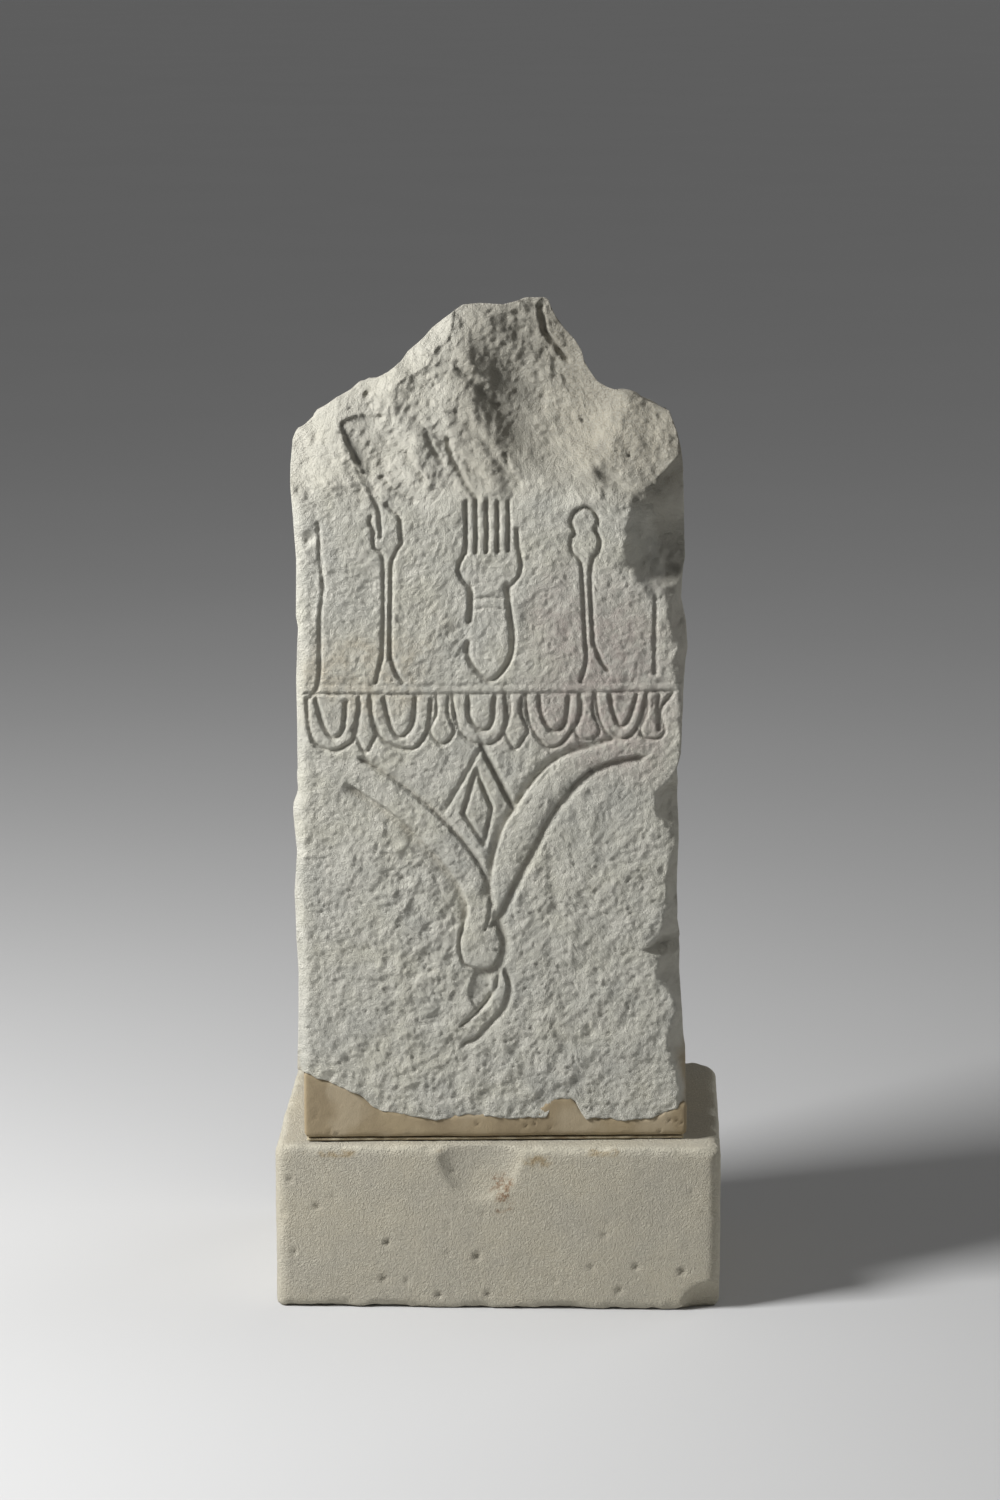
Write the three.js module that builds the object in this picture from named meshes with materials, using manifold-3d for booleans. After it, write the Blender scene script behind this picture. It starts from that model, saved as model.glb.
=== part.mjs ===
// A votive stele of pale limestone with a broken gable, set with a plaster foot, a bed of
// mortar and two metal dowels on a stone socle.
// Millimetres, +Z up. The carved face looks along -Y, the socle's long side lies along X,
// and the origin is the middle of the socle's underside.

import * as THREE from 'three';
import { mergeVertices } from 'three/addons/utils/BufferGeometryUtils.js';
import Module from 'manifold-3d';

const wasm = await Module();
wasm.setup();

// Clearance between pieces that touch
const GAP = 0.3;

// Socle, a sawn block of sandy stone
const SOCLE_WIDTH = 184;
const SOCLE_DEPTH = 132;
const SOCLE_HEIGHT = 70;
const SOCLE_CORNER = 5; // radius of its upright corners
const SOCLE_ARRIS = 1.6; // worn bevel along its upper and lower edges
const SOCLE_CHAMFER = 9; // upright back right corner, knocked off
const SPALL_X = -7; // shell-shaped spall at the top of the front
const SPALL_WIDTH = 36;
const SPALL_HEIGHT = 24;
const SPALL_DEPTH = 4;
const CHIP_WIDTH = 16; // broken lower right corner of the front
const CHIP_HEIGHT = 13;
const CHIP_DEPTH = 7;

// Where the stele stands on the socle
const STELE_TURN = 3.2; // degrees, its right end farther back
const STELE_PLACE_X = -3.8;
const STELE_PLACE_Y = -6;

// Mortar bed and plaster foot. Heights from here on are above the socle's top.
const BED_THICKNESS = 1.2;
const BED_INSET = 1.2; // its edge lies behind the foot's
const FOOT_WIDTH = 158;
const FOOT_DEPTH = 104;
const FOOT_ARRIS = 1.5;
const FOOT_JOINT = 0.5; // upright gap between the plaster and the slanting break

// Stele, a slab whose face stands a little proud of the plaster
const STELE_WIDTH = 161;
const STELE_THICKNESS = 106;
const STELE_SHIFT = -1.75; // middle of the slab from the middle of the foot
const SHOULDER_HEIGHT = 285;
const PEAK_HEIGHT = 345.5;
const RIDGE_DEPTH = 36; // the gable's ridge lies this far behind the face
const BACK_DROP = 20; // and its top falls this much from there to its back
const LEFT_ARRIS = 4;
const RIGHT_ARRIS = 7;
const RIGHT_ARRIS_DEPTH = 11;

// Dressing of the hidden sides: how many tool facets, and how deep they bite
const FACET_ROWS = 6;
const FACET_COLUMNS = 3;
const FACET_BITE = 2.4;
const SIDE_FACET_BITE = 3.4;

// Break of the slab's foot
const BREAK_HEIGHT = 10; // lowest point of the break
const BREAK_RISE = 22; // how much higher it ends at the left side

// Carved face
const FACE_HEIGHT = 268; // the gable's fracture starts here
const FRACTURE_SLOPE = 0.42; // how far the fracture falls back for each mm of height
const SHOULDER_BLOCK_HEIGHT = 286; // the left shoulder keeps its face up to here
const LIFT = 1; // how far every cutter stands out of the face
const RUN_OUT = 0.35; // share of a groove's depth that is left at its ends

const GROOVE_WIDTH = 3;
const GROOVE_DEPTH = 1.8;

const HAND_X = -0.4;
const HAND_TOP = FACE_HEIGHT - 1.5;
const FINGER_PITCH = 4.4;
const FINGER_LENGTH = 20;
const FINGER_COUNT = 4;

const LEFT_STAFF_X = -41.5;
const RIGHT_STAFF_X = 38.2;
const STAFF_TOP = 264;

const FRIEZE_TOP = 187.5;
const EGG_PITCH = 29.4;
const EGG_WIDTH = 22;
const EGG_HEIGHT = 21.5;
const YOLK_WIDTH = 12.4; // the rounded egg inside its shell
const YOLK_HEIGHT = 15;
const DART_WIDTH = 10;
const DART_HEIGHT = 22.5;

const LOZENGE_X = -5.2;
const LOZENGE_WIDTH = 28.5;
const LOZENGE_HEIGHT = 52;
const LOZENGE_INNER_WIDTH = 14;
const LOZENGE_INNER_HEIGHT = 31;
const LOZENGE_TOP = FRIEZE_TOP - EGG_HEIGHT - 0.8;

const RIBBON_WIDTH = 12;
const RIBBON_END_WIDTH = 7; // where the right ribbon meets the left one
const RIBBON_BEVEL = 5.5; // width of the slope beside a ribbon

const BULB_X = -4.5;
const BULB_Z = 84.5;
const BULB_WIDTH = 17;
const BULB_HEIGHT = 23;

// Dowels, each in a socket of the stele and one of the socle
const DOWEL_DIAMETER = 10;
const DOWEL_SPACING = 84;
const DOWEL_CLEARANCE = 0.4; // all round, for the grout
const DOWEL_IN_SOCLE = 32;
const DOWEL_IN_STELE = 38; // above the lowest point of the break
const DOWEL_CHAMFER = 1;

const BED_BASE = GAP;
const FOOT_BASE = BED_BASE + BED_THICKNESS + GAP;
const FACE = -STELE_THICKNESS / 2;
const BACK = STELE_THICKNESS / 2;
const HALF = STELE_WIDTH / 2;

// Worn and chipped sides, as [share of the shoulder's height, mm inside the full width]
const LEFT_SIDE = [
  [0.37, 0.8], [0.485, 0.3], [0.515, 2], [0.68, 1.9], [0.79, 2.6], [0.86, 1.6], [0.93, 0.6], [0.97, 0],
];
const RIGHT_SIDE = [
  [0.93, 2.2], [0.88, 1.4], [0.82, 3.3], [0.78, 3.6], [0.76, 1], [0.7, 1.4], [0.66, 2.7],
  [0.55, 5.2], [0.48, 4], [0.32, 4.1], [0.29, 2.4], [0.16, 2.4],
];

// Broken gable from left to right, as [share of the half width, share of the gable's height]
const GABLE = [
  [-0.985, 0.06], [-0.945, 0.165], [-0.825, 0.293], [-0.652, 0.44], [-0.578, 0.46], [-0.41, 0.626],
  [-0.28, 0.797], [-0.174, 0.911], [-0.13, 0.94], [0.03, 0.943], [0.186, 0.992], [0.273, 0.984],
  [0.304, 0.919], [0.429, 0.715], [0.472, 0.569], [0.547, 0.431], [0.776, 0.317], [0.888, 0.236],
  [0.932, 0.073],
];

// Broken foot from left to right, as [share of the half width, share of the break's rise]
const BREAK = [
  [-0.9, 0.84], [-0.755, 0.66], [-0.665, 0.48], [-0.57, 0.21], [-0.28, 0], [-0.137, 0.12],
  [0.2, 0.05], [0.3, 0.4], [0.41, 0.4], [0.5, 0], [0.84, 0], [0.95, 0.26],
];
const BREAK_LEFT = 1; // shares of the rise at the two sides
const BREAK_RIGHT = 0.3;

// Half profiles of the carved figures, as [mm from the axis, mm below the top]
const HAND_PROFILE = [
  [10.3, 0], [10.3, 19], [12.6, 26], [10.6, 32], [7.4, 37], [7.6, 48], [9.1, 61], [7, 68.5], [1.6, 73.2],
];
const STAFF_PROFILE = [
  [1.2, 0.5], [5.6, 6.5], [5, 10.3], [3.9, 12.4], [5.6, 17], [4.4, 20], [1.8, 23.5], [1.6, 34],
  [1.7, 52], [2.6, 62], [5.6, 71],
];

// Middle lines of the ribbons and of the tail, from the top down, as [x, height]
const LEFT_RIBBON = [
  [-51.3, 153], [-42.3, 147.3], [-32.5, 139.5], [-23.8, 131], [-16.4, 122], [-10.4, 112.5],
  [-6.6, 103], [-5.4, 96],
];
const RIGHT_RIBBON = [
  [54, 165.6], [45.5, 163.4], [38.5, 160.6], [31.7, 156.8], [24.8, 150.1], [18.6, 141.7],
  [12.8, 132.4], [8.3, 122.5], [4.7, 112], [2, 102],
];
const TAIL = [[3.4, 72], [3.8, 64], [1, 57.5], [-3.4, 52], [-8.4, 47.5], [-12, 45.5]];
const TAIL_WIDTH = 6;

// Turning closed geometry into solids and back

function solidOf(geometry) {
  const bare = geometry.clone();
  bare.deleteAttribute('normal');
  bare.deleteAttribute('uv');
  const merged = mergeVertices(bare, 1e-4);
  return new wasm.Manifold(new wasm.Mesh({
    numProp: 3,
    vertProperties: new Float32Array(merged.attributes.position.array),
    triVerts: new Uint32Array(merged.index.array),
  }));
}

function geometryOf(solid) {
  const mesh = solid.getMesh();
  const geometry = new THREE.BufferGeometry();
  geometry.setAttribute('position', new THREE.BufferAttribute(mesh.vertProperties, 3));
  geometry.setIndex(new THREE.BufferAttribute(mesh.triVerts, 1));
  geometry.computeVertexNormals();
  return geometry;
}

function shapeOf(points) {
  return new THREE.Shape(points.map(([x, y]) => new THREE.Vector2(x, y)));
}

// A front view outline, [x, z] points, as a prism from y = front to y = back
function facePrism(points, front, back) {
  const geometry = new THREE.ExtrudeGeometry(shapeOf(points), { depth: back - front, bevelEnabled: false });
  geometry.rotateX(Math.PI / 2);
  geometry.translate(0, back, 0);
  return geometry;
}

// A side view outline, [y, z] points, as a prism from x = left to x = right
function sidePrism(points, left, right) {
  const geometry = new THREE.ExtrudeGeometry(shapeOf(points), { depth: right - left, bevelEnabled: false });
  const turn = new THREE.Matrix4().makeBasis(
    new THREE.Vector3(0, 1, 0),
    new THREE.Vector3(0, 0, 1),
    new THREE.Vector3(1, 0, 0),
  );
  geometry.applyMatrix4(turn);
  geometry.translate(left, 0, 0);
  return geometry;
}

// A block with bevelled upper and lower edges, standing on z = base
function bevelledBlock(outline, base, height, bevel) {
  const geometry = new THREE.ExtrudeGeometry(outline, {
    depth: height - 2 * bevel,
    bevelThickness: bevel,
    bevelSize: bevel,
    bevelOffset: -bevel,
    bevelSegments: 2,
    curveSegments: 5,
  });
  geometry.translate(0, 0, base + bevel);
  return geometry;
}

function ellipsoid(centre, radii, turnY = 0) {
  const geometry = new THREE.SphereGeometry(1, 20, 14);
  geometry.scale(...radii);
  geometry.rotateY(turnY);
  geometry.translate(...centre);
  return solidOf(geometry);
}

function uprightCylinder(x, y, radius, base, top) {
  const geometry = new THREE.CylinderGeometry(radius, radius, top - base, 32);
  geometry.rotateX(Math.PI / 2);
  geometry.translate(x, y, (base + top) / 2);
  return geometry;
}

// Lines on the carved face

function smooth(points, steps) {
  const curve = new THREE.CatmullRomCurve3(points.map(([x, z]) => new THREE.Vector3(x, 0, z)));
  return curve.getPoints(steps).map((point) => [point.x, point.z]);
}

function mirroredProfile(profile, x, top, steps) {
  const left = smooth(profile.map(([out, down]) => [x - out, top - down]), steps);
  const right = smooth(profile.map(([out, down]) => [x + out, top - down]), steps);
  return [left, right];
}

function halfEllipse(x, top, width, height, steps) {
  const points = [];
  for (let i = 0; i <= steps; i += 1) {
    const angle = (Math.PI * i) / steps;
    points.push([x - (width / 2) * Math.cos(angle), top - height * Math.sin(angle)]);
  }
  return points;
}

// The sideways direction of a line at one of its points, to the left of its run
function sideways(line, i, closed) {
  const last = line.length - 1;
  const before = line[closed ? (i + last) % line.length : Math.max(i - 1, 0)];
  const after = line[closed ? (i + 1) % line.length : Math.min(i + 1, last)];
  const length = Math.hypot(after[0] - before[0], after[1] - before[1]);
  return [-(after[1] - before[1]) / length, (after[0] - before[0]) / length];
}

// A line moved sideways, by a distance that may change evenly from its start to its end
function offsetLine(line, start, end = start) {
  return line.map(([x, z], i) => {
    const [sideX, sideZ] = sideways(line, i, false);
    const distance = start + ((end - start) * i) / (line.length - 1);
    return [x + sideX * distance, z + sideZ * distance];
  });
}

// A chiselled groove: a V section swept along a line. Its deepest line lies off the middle
// by lean, from -1 at the right edge to 1 at the left one, and it runs out at open ends.
function groove(line, { width = GROOVE_WIDTH, depth = GROOVE_DEPTH, lean = 0, closed = false } = {}) {
  const corners = [];
  line.forEach(([x, z], i) => {
    const [sideX, sideZ] = sideways(line, i, closed);
    const atEnd = !closed && (i === 0 || i === line.length - 1);
    const share = atEnd ? RUN_OUT : 1;
    const half = (width / 2) * share * (1 + LIFT / (depth * share));
    const shift = lean * 0.8 * (width / 2) * share;
    corners.push(x + sideX * half, FACE - LIFT, z + sideZ * half);
    corners.push(x - sideX * half, FACE - LIFT, z - sideZ * half);
    corners.push(x + sideX * shift, FACE + depth * share, z + sideZ * shift);
  });
  const triangles = [];
  const count = line.length;
  const spans = closed ? count : count - 1;
  for (let i = 0; i < spans; i += 1) {
    const here = 3 * i;
    const next = 3 * ((i + 1) % count);
    for (let corner = 0; corner < 3; corner += 1) {
      const other = (corner + 1) % 3;
      triangles.push(here + corner, here + other, next + other);
      triangles.push(here + corner, next + other, next + corner);
    }
  }
  if (!closed) {
    const end = 3 * (count - 1);
    triangles.push(0, 2, 1);
    triangles.push(end, end + 1, end + 2);
  }
  const geometry = new THREE.BufferGeometry();
  geometry.setAttribute('position', new THREE.Float32BufferAttribute(corners, 3));
  geometry.setIndex(triangles);
  return solidOf(geometry);
}

function lozenge(x, z, width, height) {
  return [[x, z + height / 2], [x - width / 2, z], [x, z - height / 2], [x + width / 2, z]];
}

// The stele's outline and its breaks

function breakLine(shift) {
  const inner = BREAK.map(([across, up]) => [across * HALF + shift, BREAK_HEIGHT + up * BREAK_RISE]);
  return [
    [-HALF + shift, BREAK_HEIGHT + BREAK_LEFT * BREAK_RISE],
    ...inner,
    [HALF + shift, BREAK_HEIGHT + BREAK_RIGHT * BREAK_RISE],
  ];
}

function steleOutline() {
  const gable = GABLE.map(([across, up]) => [
    across * HALF,
    SHOULDER_HEIGHT + up * (PEAK_HEIGHT - SHOULDER_HEIGHT),
  ]);
  const left = LEFT_SIDE.map(([up, inset]) => [-HALF + inset, up * SHOULDER_HEIGHT]);
  const right = RIGHT_SIDE.map(([up, inset]) => [HALF - inset, up * SHOULDER_HEIGHT]);
  return [...breakLine(0), ...[...left, ...gable, ...right].reverse()];
}

// The slab, whose top falls from its ridge to its back
function slab() {
  const ridge = FACE + RIDGE_DEPTH;
  const front = solidOf(facePrism(steleOutline(), FACE, ridge));
  const geometry = facePrism(steleOutline(), ridge, BACK);
  const position = geometry.attributes.position;
  for (let i = 0; i < position.count; i += 1) {
    const rise = (position.getZ(i) - FACE_HEIGHT) / (SHOULDER_HEIGHT - FACE_HEIGHT);
    const behind = (position.getY(i) - ridge) / (BACK - ridge);
    position.setZ(i, position.getZ(i) - THREE.MathUtils.clamp(rise, 0, 1) * behind * BACK_DROP);
  }
  return front.add(solidOf(geometry));
}

// Everything in front of a plane that leans back from the face, from a height upwards
function leaningFracture(foot, slope, left, right) {
  const top = PEAK_HEIGHT + 10;
  const profile = [
    [FACE - 10, foot - 10 / slope],
    [FACE + (top - foot) * slope, top],
    [FACE - 10, top],
  ];
  return solidOf(sidePrism(profile, left, right));
}

// The front of the gable, which broke off above the carved field
function gableFractures() {
  const ledge = facePrism([
    [-60.5, PEAK_HEIGHT + 10], [-60.5, FACE_HEIGHT + 28], [-50, FACE_HEIGHT + 6], [-44, FACE_HEIGHT],
    [HALF + 10, FACE_HEIGHT - 1], [HALF + 10, PEAK_HEIGHT + 10],
  ], FACE - 10, BACK);
  const field = leaningFracture(FACE_HEIGHT - 6, FRACTURE_SLOPE, -HALF - 10, HALF + 10);
  const block = leaningFracture(SHOULDER_BLOCK_HEIGHT, 0.62, -HALF - 10, -30);
  const hollow = ellipsoid([14, FACE - 5, PEAK_HEIGHT - 10], [36, 41, 58], -0.15);
  const flank = ellipsoid([-52, FACE - 4, PEAK_HEIGHT + 6], [40, 38, 42], 0.5);
  const rightFlank = ellipsoid([58, FACE - 8, PEAK_HEIGHT - 14], [34, 30, 42]);
  const aboveHand = ellipsoid([-22, FACE - 30, FACE_HEIGHT + 16], [34, 36, 20]);
  return [field.intersect(solidOf(ledge)), block, hollow, flank, rightFlank, aboveHand];
}

// The arrises of the face: the left one is worn, the right one is broken away
function arrisCuts() {
  const below = -5;
  const above = PEAK_HEIGHT + 10;
  const bevel = (side, width, depth) => {
    const outline = shapeOf([
      [side * (HALF + 5), FACE - 5],
      [side * (HALF + 5), FACE + depth + (depth * 5) / width],
      [side * (HALF - width - (width * 5) / depth), FACE - 5],
    ]);
    const geometry = new THREE.ExtrudeGeometry(outline, { depth: above - below, bevelEnabled: false });
    geometry.translate(0, 0, below);
    return solidOf(geometry);
  };
  return [
    bevel(-1, LEFT_ARRIS, LEFT_ARRIS),
    bevel(1, RIGHT_ARRIS, RIGHT_ARRIS_DEPTH),
    ellipsoid([HALF + 8, FACE - 14, 252], [37, 30, 34]),
    ellipsoid([HALF + 8, FACE - 8, 214], [16, 20, 22]),
    ellipsoid([HALF + 6, FACE - 8, 141], [22, 20, 19]),
    ellipsoid([HALF + 4, FACE - 10, 84], [24, 16, 12]),
    ellipsoid([HALF + 6, FACE - 8, 44], [18, 16, 16]),
  ];
}

// Shallow facets of the roughly dressed back and sides
function dressedFacets() {
  const facets = [];
  const radius = 150;
  for (let row = 0; row < FACET_ROWS; row += 1) {
    const z = ((row + 0.6) / FACET_ROWS) * SHOULDER_HEIGHT;
    const stagger = row % 2 === 0 ? 0.25 : -0.25;
    for (let column = 0; column < FACET_COLUMNS; column += 1) {
      const x = ((column + 0.5 + stagger) / FACET_COLUMNS - 0.5) * STELE_WIDTH;
      facets.push(ellipsoid([x, BACK + radius - FACET_BITE, z], [radius, radius, radius * 1.2]));
    }
    for (const side of [-1, 1]) {
      const x = side * (HALF + radius - SIDE_FACET_BITE);
      const y = (0.22 + stagger * side) * STELE_THICKNESS;
      facets.push(ellipsoid([x, y, z], [radius, radius, radius]));
    }
  }
  return facets;
}

// The carving

function hand() {
  const [left, right] = mirroredProfile(HAND_PROFILE, HAND_X, HAND_TOP, 20);
  const cuts = [groove(left, { lean: 0.5 }), groove(right.slice(4), { lean: -0.5 })];
  for (let i = 0; i < FINGER_COUNT; i += 1) {
    const x = HAND_X + (i - (FINGER_COUNT - 1) / 2) * FINGER_PITCH;
    const line = [[x, HAND_TOP + 2], [x, HAND_TOP - FINGER_LENGTH]];
    cuts.push(groove(line, { width: 1.8, depth: 1.2 }));
  }
  return cuts;
}

function staff(x) {
  const [left, right] = mirroredProfile(STAFF_PROFILE, x, STAFF_TOP, 24);
  const outline = [...left.slice().reverse(), ...right];
  return [groove(outline, { width: 2, depth: 1.3 })];
}

function eggAndDart() {
  const cuts = [];
  const shown = Math.ceil(STELE_WIDTH / EGG_PITCH);
  for (let i = 0; i < shown; i += 1) {
    const x = -HALF + (i + 0.55) * EGG_PITCH;
    const dartX = x + EGG_PITCH / 2;
    const shell = halfEllipse(x, FRIEZE_TOP, EGG_WIDTH, EGG_HEIGHT, 12);
    const yolk = halfEllipse(x, FRIEZE_TOP - 1, YOLK_WIDTH, YOLK_HEIGHT, 10);
    cuts.push(groove(shell, { width: 3.4, depth: 2.2, lean: 0.4 }));
    cuts.push(groove(yolk, { width: 3, depth: 2, lean: -0.4 }));
    cuts.push(groove([yolk[0], yolk[yolk.length - 1]], { width: 1.6, depth: 1 }));
    const dart = [
      [dartX - DART_WIDTH / 2, FRIEZE_TOP - DART_HEIGHT * 0.72],
      [dartX, FRIEZE_TOP - DART_HEIGHT],
      [dartX + DART_WIDTH / 2, FRIEZE_TOP - DART_HEIGHT * 0.72],
    ];
    cuts.push(groove(dart, { width: 2.4, depth: 1.5 }));
  }
  return cuts;
}

function doubleLozenge() {
  const z = LOZENGE_TOP - LOZENGE_HEIGHT / 2;
  const outer = lozenge(LOZENGE_X, z, LOZENGE_WIDTH, LOZENGE_HEIGHT);
  const inner = lozenge(LOZENGE_X, z, LOZENGE_INNER_WIDTH, LOZENGE_INNER_HEIGHT);
  return [groove(outer, { width: 4.2, depth: 2.4, closed: true }), groove(inner, { closed: true })];
}

// Both ribbons: a sloping cut beside each edge, deepest at the ribbon
function ribbons() {
  const left = smooth(LEFT_RIBBON, 14);
  const right = smooth(RIGHT_RIBBON, 16);
  const edge = (line, side, start, end, width) => {
    const reach = side * width * 0.4;
    return groove(offsetLine(line, side * start + reach, side * end + reach), {
      width,
      depth: 2.2,
      lean: -side,
    });
  };
  const half = RIBBON_WIDTH / 2;
  const endHalf = RIBBON_END_WIDTH / 2;
  return [
    edge(left, 1, half, half, 3.6),
    edge(left, -1, half, half, RIBBON_BEVEL),
    edge(right, 1, half, endHalf, RIBBON_BEVEL),
    edge(right, -1, half, endHalf, 3.6),
  ];
}

// The bulb in which the ribbons end, and its hooked tail
function bulbAndTail() {
  const around = [];
  const steps = 18;
  for (let i = 0; i <= steps; i += 1) {
    const angle = Math.PI * (0.72 + (1.56 * i) / steps);
    around.push([
      BULB_X + (BULB_WIDTH / 2) * Math.cos(angle),
      BULB_Z + (BULB_HEIGHT / 2) * Math.sin(angle),
    ]);
  }
  const tail = smooth(TAIL, 10);
  return [
    groove(around, { width: 4, depth: 2.2, lean: 0.4 }),
    groove(offsetLine(tail, TAIL_WIDTH / 2), { width: 4.4, depth: 2.2, lean: -0.6 }),
    groove(offsetLine(tail, -TAIL_WIDTH / 2), { width: 2.4, depth: 1.2 }),
  ];
}

// The pieces

function dowelPlaces() {
  return [-DOWEL_SPACING / 2, DOWEL_SPACING / 2];
}

function dowelHoles(base, top, shift) {
  const radius = DOWEL_DIAMETER / 2 + DOWEL_CLEARANCE;
  return dowelPlaces().map((x) => solidOf(uprightCylinder(x + shift, 0, radius, base, top)));
}

function cutFrom(solid, cutters) {
  return solid.subtract(wasm.Manifold.union(cutters));
}

function steleSolid() {
  const cutters = [
    ...gableFractures(),
    ...arrisCuts(),
    ...dressedFacets(),
    ...hand(),
    ...staff(LEFT_STAFF_X),
    ...staff(RIGHT_STAFF_X),
    ...eggAndDart(),
    ...doubleLozenge(),
    ...ribbons(),
    ...bulbAndTail(),
    ...dowelHoles(-1, BREAK_HEIGHT + DOWEL_IN_STELE + GAP, -STELE_SHIFT),
  ];
  return cutFrom(slab(), cutters);
}

function footSolid() {
  const half = FOOT_WIDTH / 2;
  const line = breakLine(STELE_SHIFT).map(([x, z]) => [x, z - FOOT_JOINT]);
  const under = [[-HALF - 20, line[0][1]], ...line, [HALF + 20, line[line.length - 1][1]]];
  const top = Math.max(...line.map(([, z]) => z)) + 5;
  const above = [...under, [HALF + 20, top], [-HALF - 20, top]];
  const plan = shapeOf([
    [-half, -FOOT_DEPTH / 2], [half, -FOOT_DEPTH / 2], [half, FOOT_DEPTH / 2], [-half, FOOT_DEPTH / 2],
  ]);
  const block = solidOf(bevelledBlock(plan, FOOT_BASE, top - FOOT_BASE, FOOT_ARRIS));
  return cutFrom(block, [
    solidOf(facePrism(above, -FOOT_DEPTH, FOOT_DEPTH)),
    ...dowelHoles(-1, top + 1, 0),
  ]);
}

function bedSolid() {
  const width = FOOT_WIDTH - 2 * BED_INSET;
  const depth = FOOT_DEPTH - 2 * BED_INSET;
  const sheet = new THREE.BoxGeometry(width, depth, BED_THICKNESS);
  sheet.translate(0, 0, BED_BASE + BED_THICKNESS / 2);
  return cutFrom(solidOf(sheet), dowelHoles(-1, FOOT_BASE, 0));
}

function dowelGeometry(x) {
  const base = -DOWEL_IN_SOCLE;
  const top = BREAK_HEIGHT + DOWEL_IN_STELE;
  const radius = DOWEL_DIAMETER / 2;
  const profile = [
    [0, base], [radius - DOWEL_CHAMFER, base], [radius, base + DOWEL_CHAMFER],
    [radius, top - DOWEL_CHAMFER], [radius - DOWEL_CHAMFER, top], [0, top],
  ];
  const geometry = new THREE.LatheGeometry(profile.map(([r, z]) => new THREE.Vector2(r, z)), 32);
  geometry.rotateX(Math.PI / 2);
  geometry.translate(x, 0, 0);
  return geometryOf(solidOf(geometry));
}

// The socle in its own frame, with its underside on z = 0
function socleSolid(stand) {
  const right = SOCLE_WIDTH / 2;
  const back = SOCLE_DEPTH / 2;
  const outline = new THREE.Shape();
  outline.moveTo(-right + SOCLE_CORNER, -back);
  outline.lineTo(right - SOCLE_CORNER, -back);
  outline.absarc(right - SOCLE_CORNER, -back + SOCLE_CORNER, SOCLE_CORNER, -Math.PI / 2, 0);
  outline.lineTo(right, back - SOCLE_CHAMFER);
  outline.lineTo(right - SOCLE_CHAMFER, back);
  outline.lineTo(-right + SOCLE_CORNER, back);
  outline.absarc(-right + SOCLE_CORNER, back - SOCLE_CORNER, SOCLE_CORNER, Math.PI / 2, Math.PI);
  outline.absarc(-right + SOCLE_CORNER, -back + SOCLE_CORNER, SOCLE_CORNER, Math.PI, Math.PI * 1.5);
  const block = solidOf(bevelledBlock(outline, 0, SOCLE_HEIGHT, SOCLE_ARRIS));
  const spall = ellipsoid(
    [SPALL_X, -back - 0.5, SOCLE_HEIGHT],
    [SPALL_WIDTH / 2, SPALL_DEPTH, SPALL_HEIGHT],
  );
  const chip = ellipsoid([right, -back, 0], [CHIP_WIDTH, CHIP_DEPTH, CHIP_HEIGHT]);
  const sockets = dowelPlaces().map((x) => {
    const place = new THREE.Vector3(x, 0, 0).applyMatrix4(stand);
    const radius = DOWEL_DIAMETER / 2 + DOWEL_CLEARANCE;
    const base = SOCLE_HEIGHT - DOWEL_IN_SOCLE - GAP;
    return solidOf(uprightCylinder(place.x, place.y, radius, base, SOCLE_HEIGHT + 5));
  });
  return cutFrom(block, [spall, chip, ...sockets]);
}

// Materials

function finish(colour, roughness, metalness = 0) {
  return new THREE.MeshStandardMaterial({ color: colour, roughness, metalness, flatShading: true });
}

const limestone = finish(0xb9b5aa, 0.95);
const plaster = finish(0xa39274, 0.85);
const mortar = finish(0xb3a88f, 0.95);
const sandstone = finish(0xb5ad98, 0.95);
const brass = finish(0xb08d57, 0.4, 1);

// Assembly

function piece(name, geometry, material) {
  const mesh = new THREE.Mesh(geometry, material);
  mesh.name = name;
  return mesh;
}

const standing = new THREE.Group();
standing.position.set(STELE_PLACE_X, STELE_PLACE_Y, SOCLE_HEIGHT);
standing.rotation.z = THREE.MathUtils.degToRad(STELE_TURN);
standing.updateMatrix();

const stele = piece('stele', geometryOf(steleSolid()), limestone);
stele.position.x = STELE_SHIFT;
standing.add(stele);
standing.add(piece('plaster_foot', geometryOf(footSolid()), plaster));
standing.add(piece('mortar_bed', geometryOf(bedSolid()), mortar));

const [leftPlace, rightPlace] = dowelPlaces();
standing.add(piece('dowel_left', dowelGeometry(leftPlace), brass));
standing.add(piece('dowel_right', dowelGeometry(rightPlace), brass));

const assembly = new THREE.Group();
assembly.add(piece('socle', geometryOf(socleSolid(standing.matrix)), sandstone));
assembly.add(standing);

export default assembly;
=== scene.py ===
import math

import bmesh
import bpy
import numpy as np
from mathutils import Matrix, Vector


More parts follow.
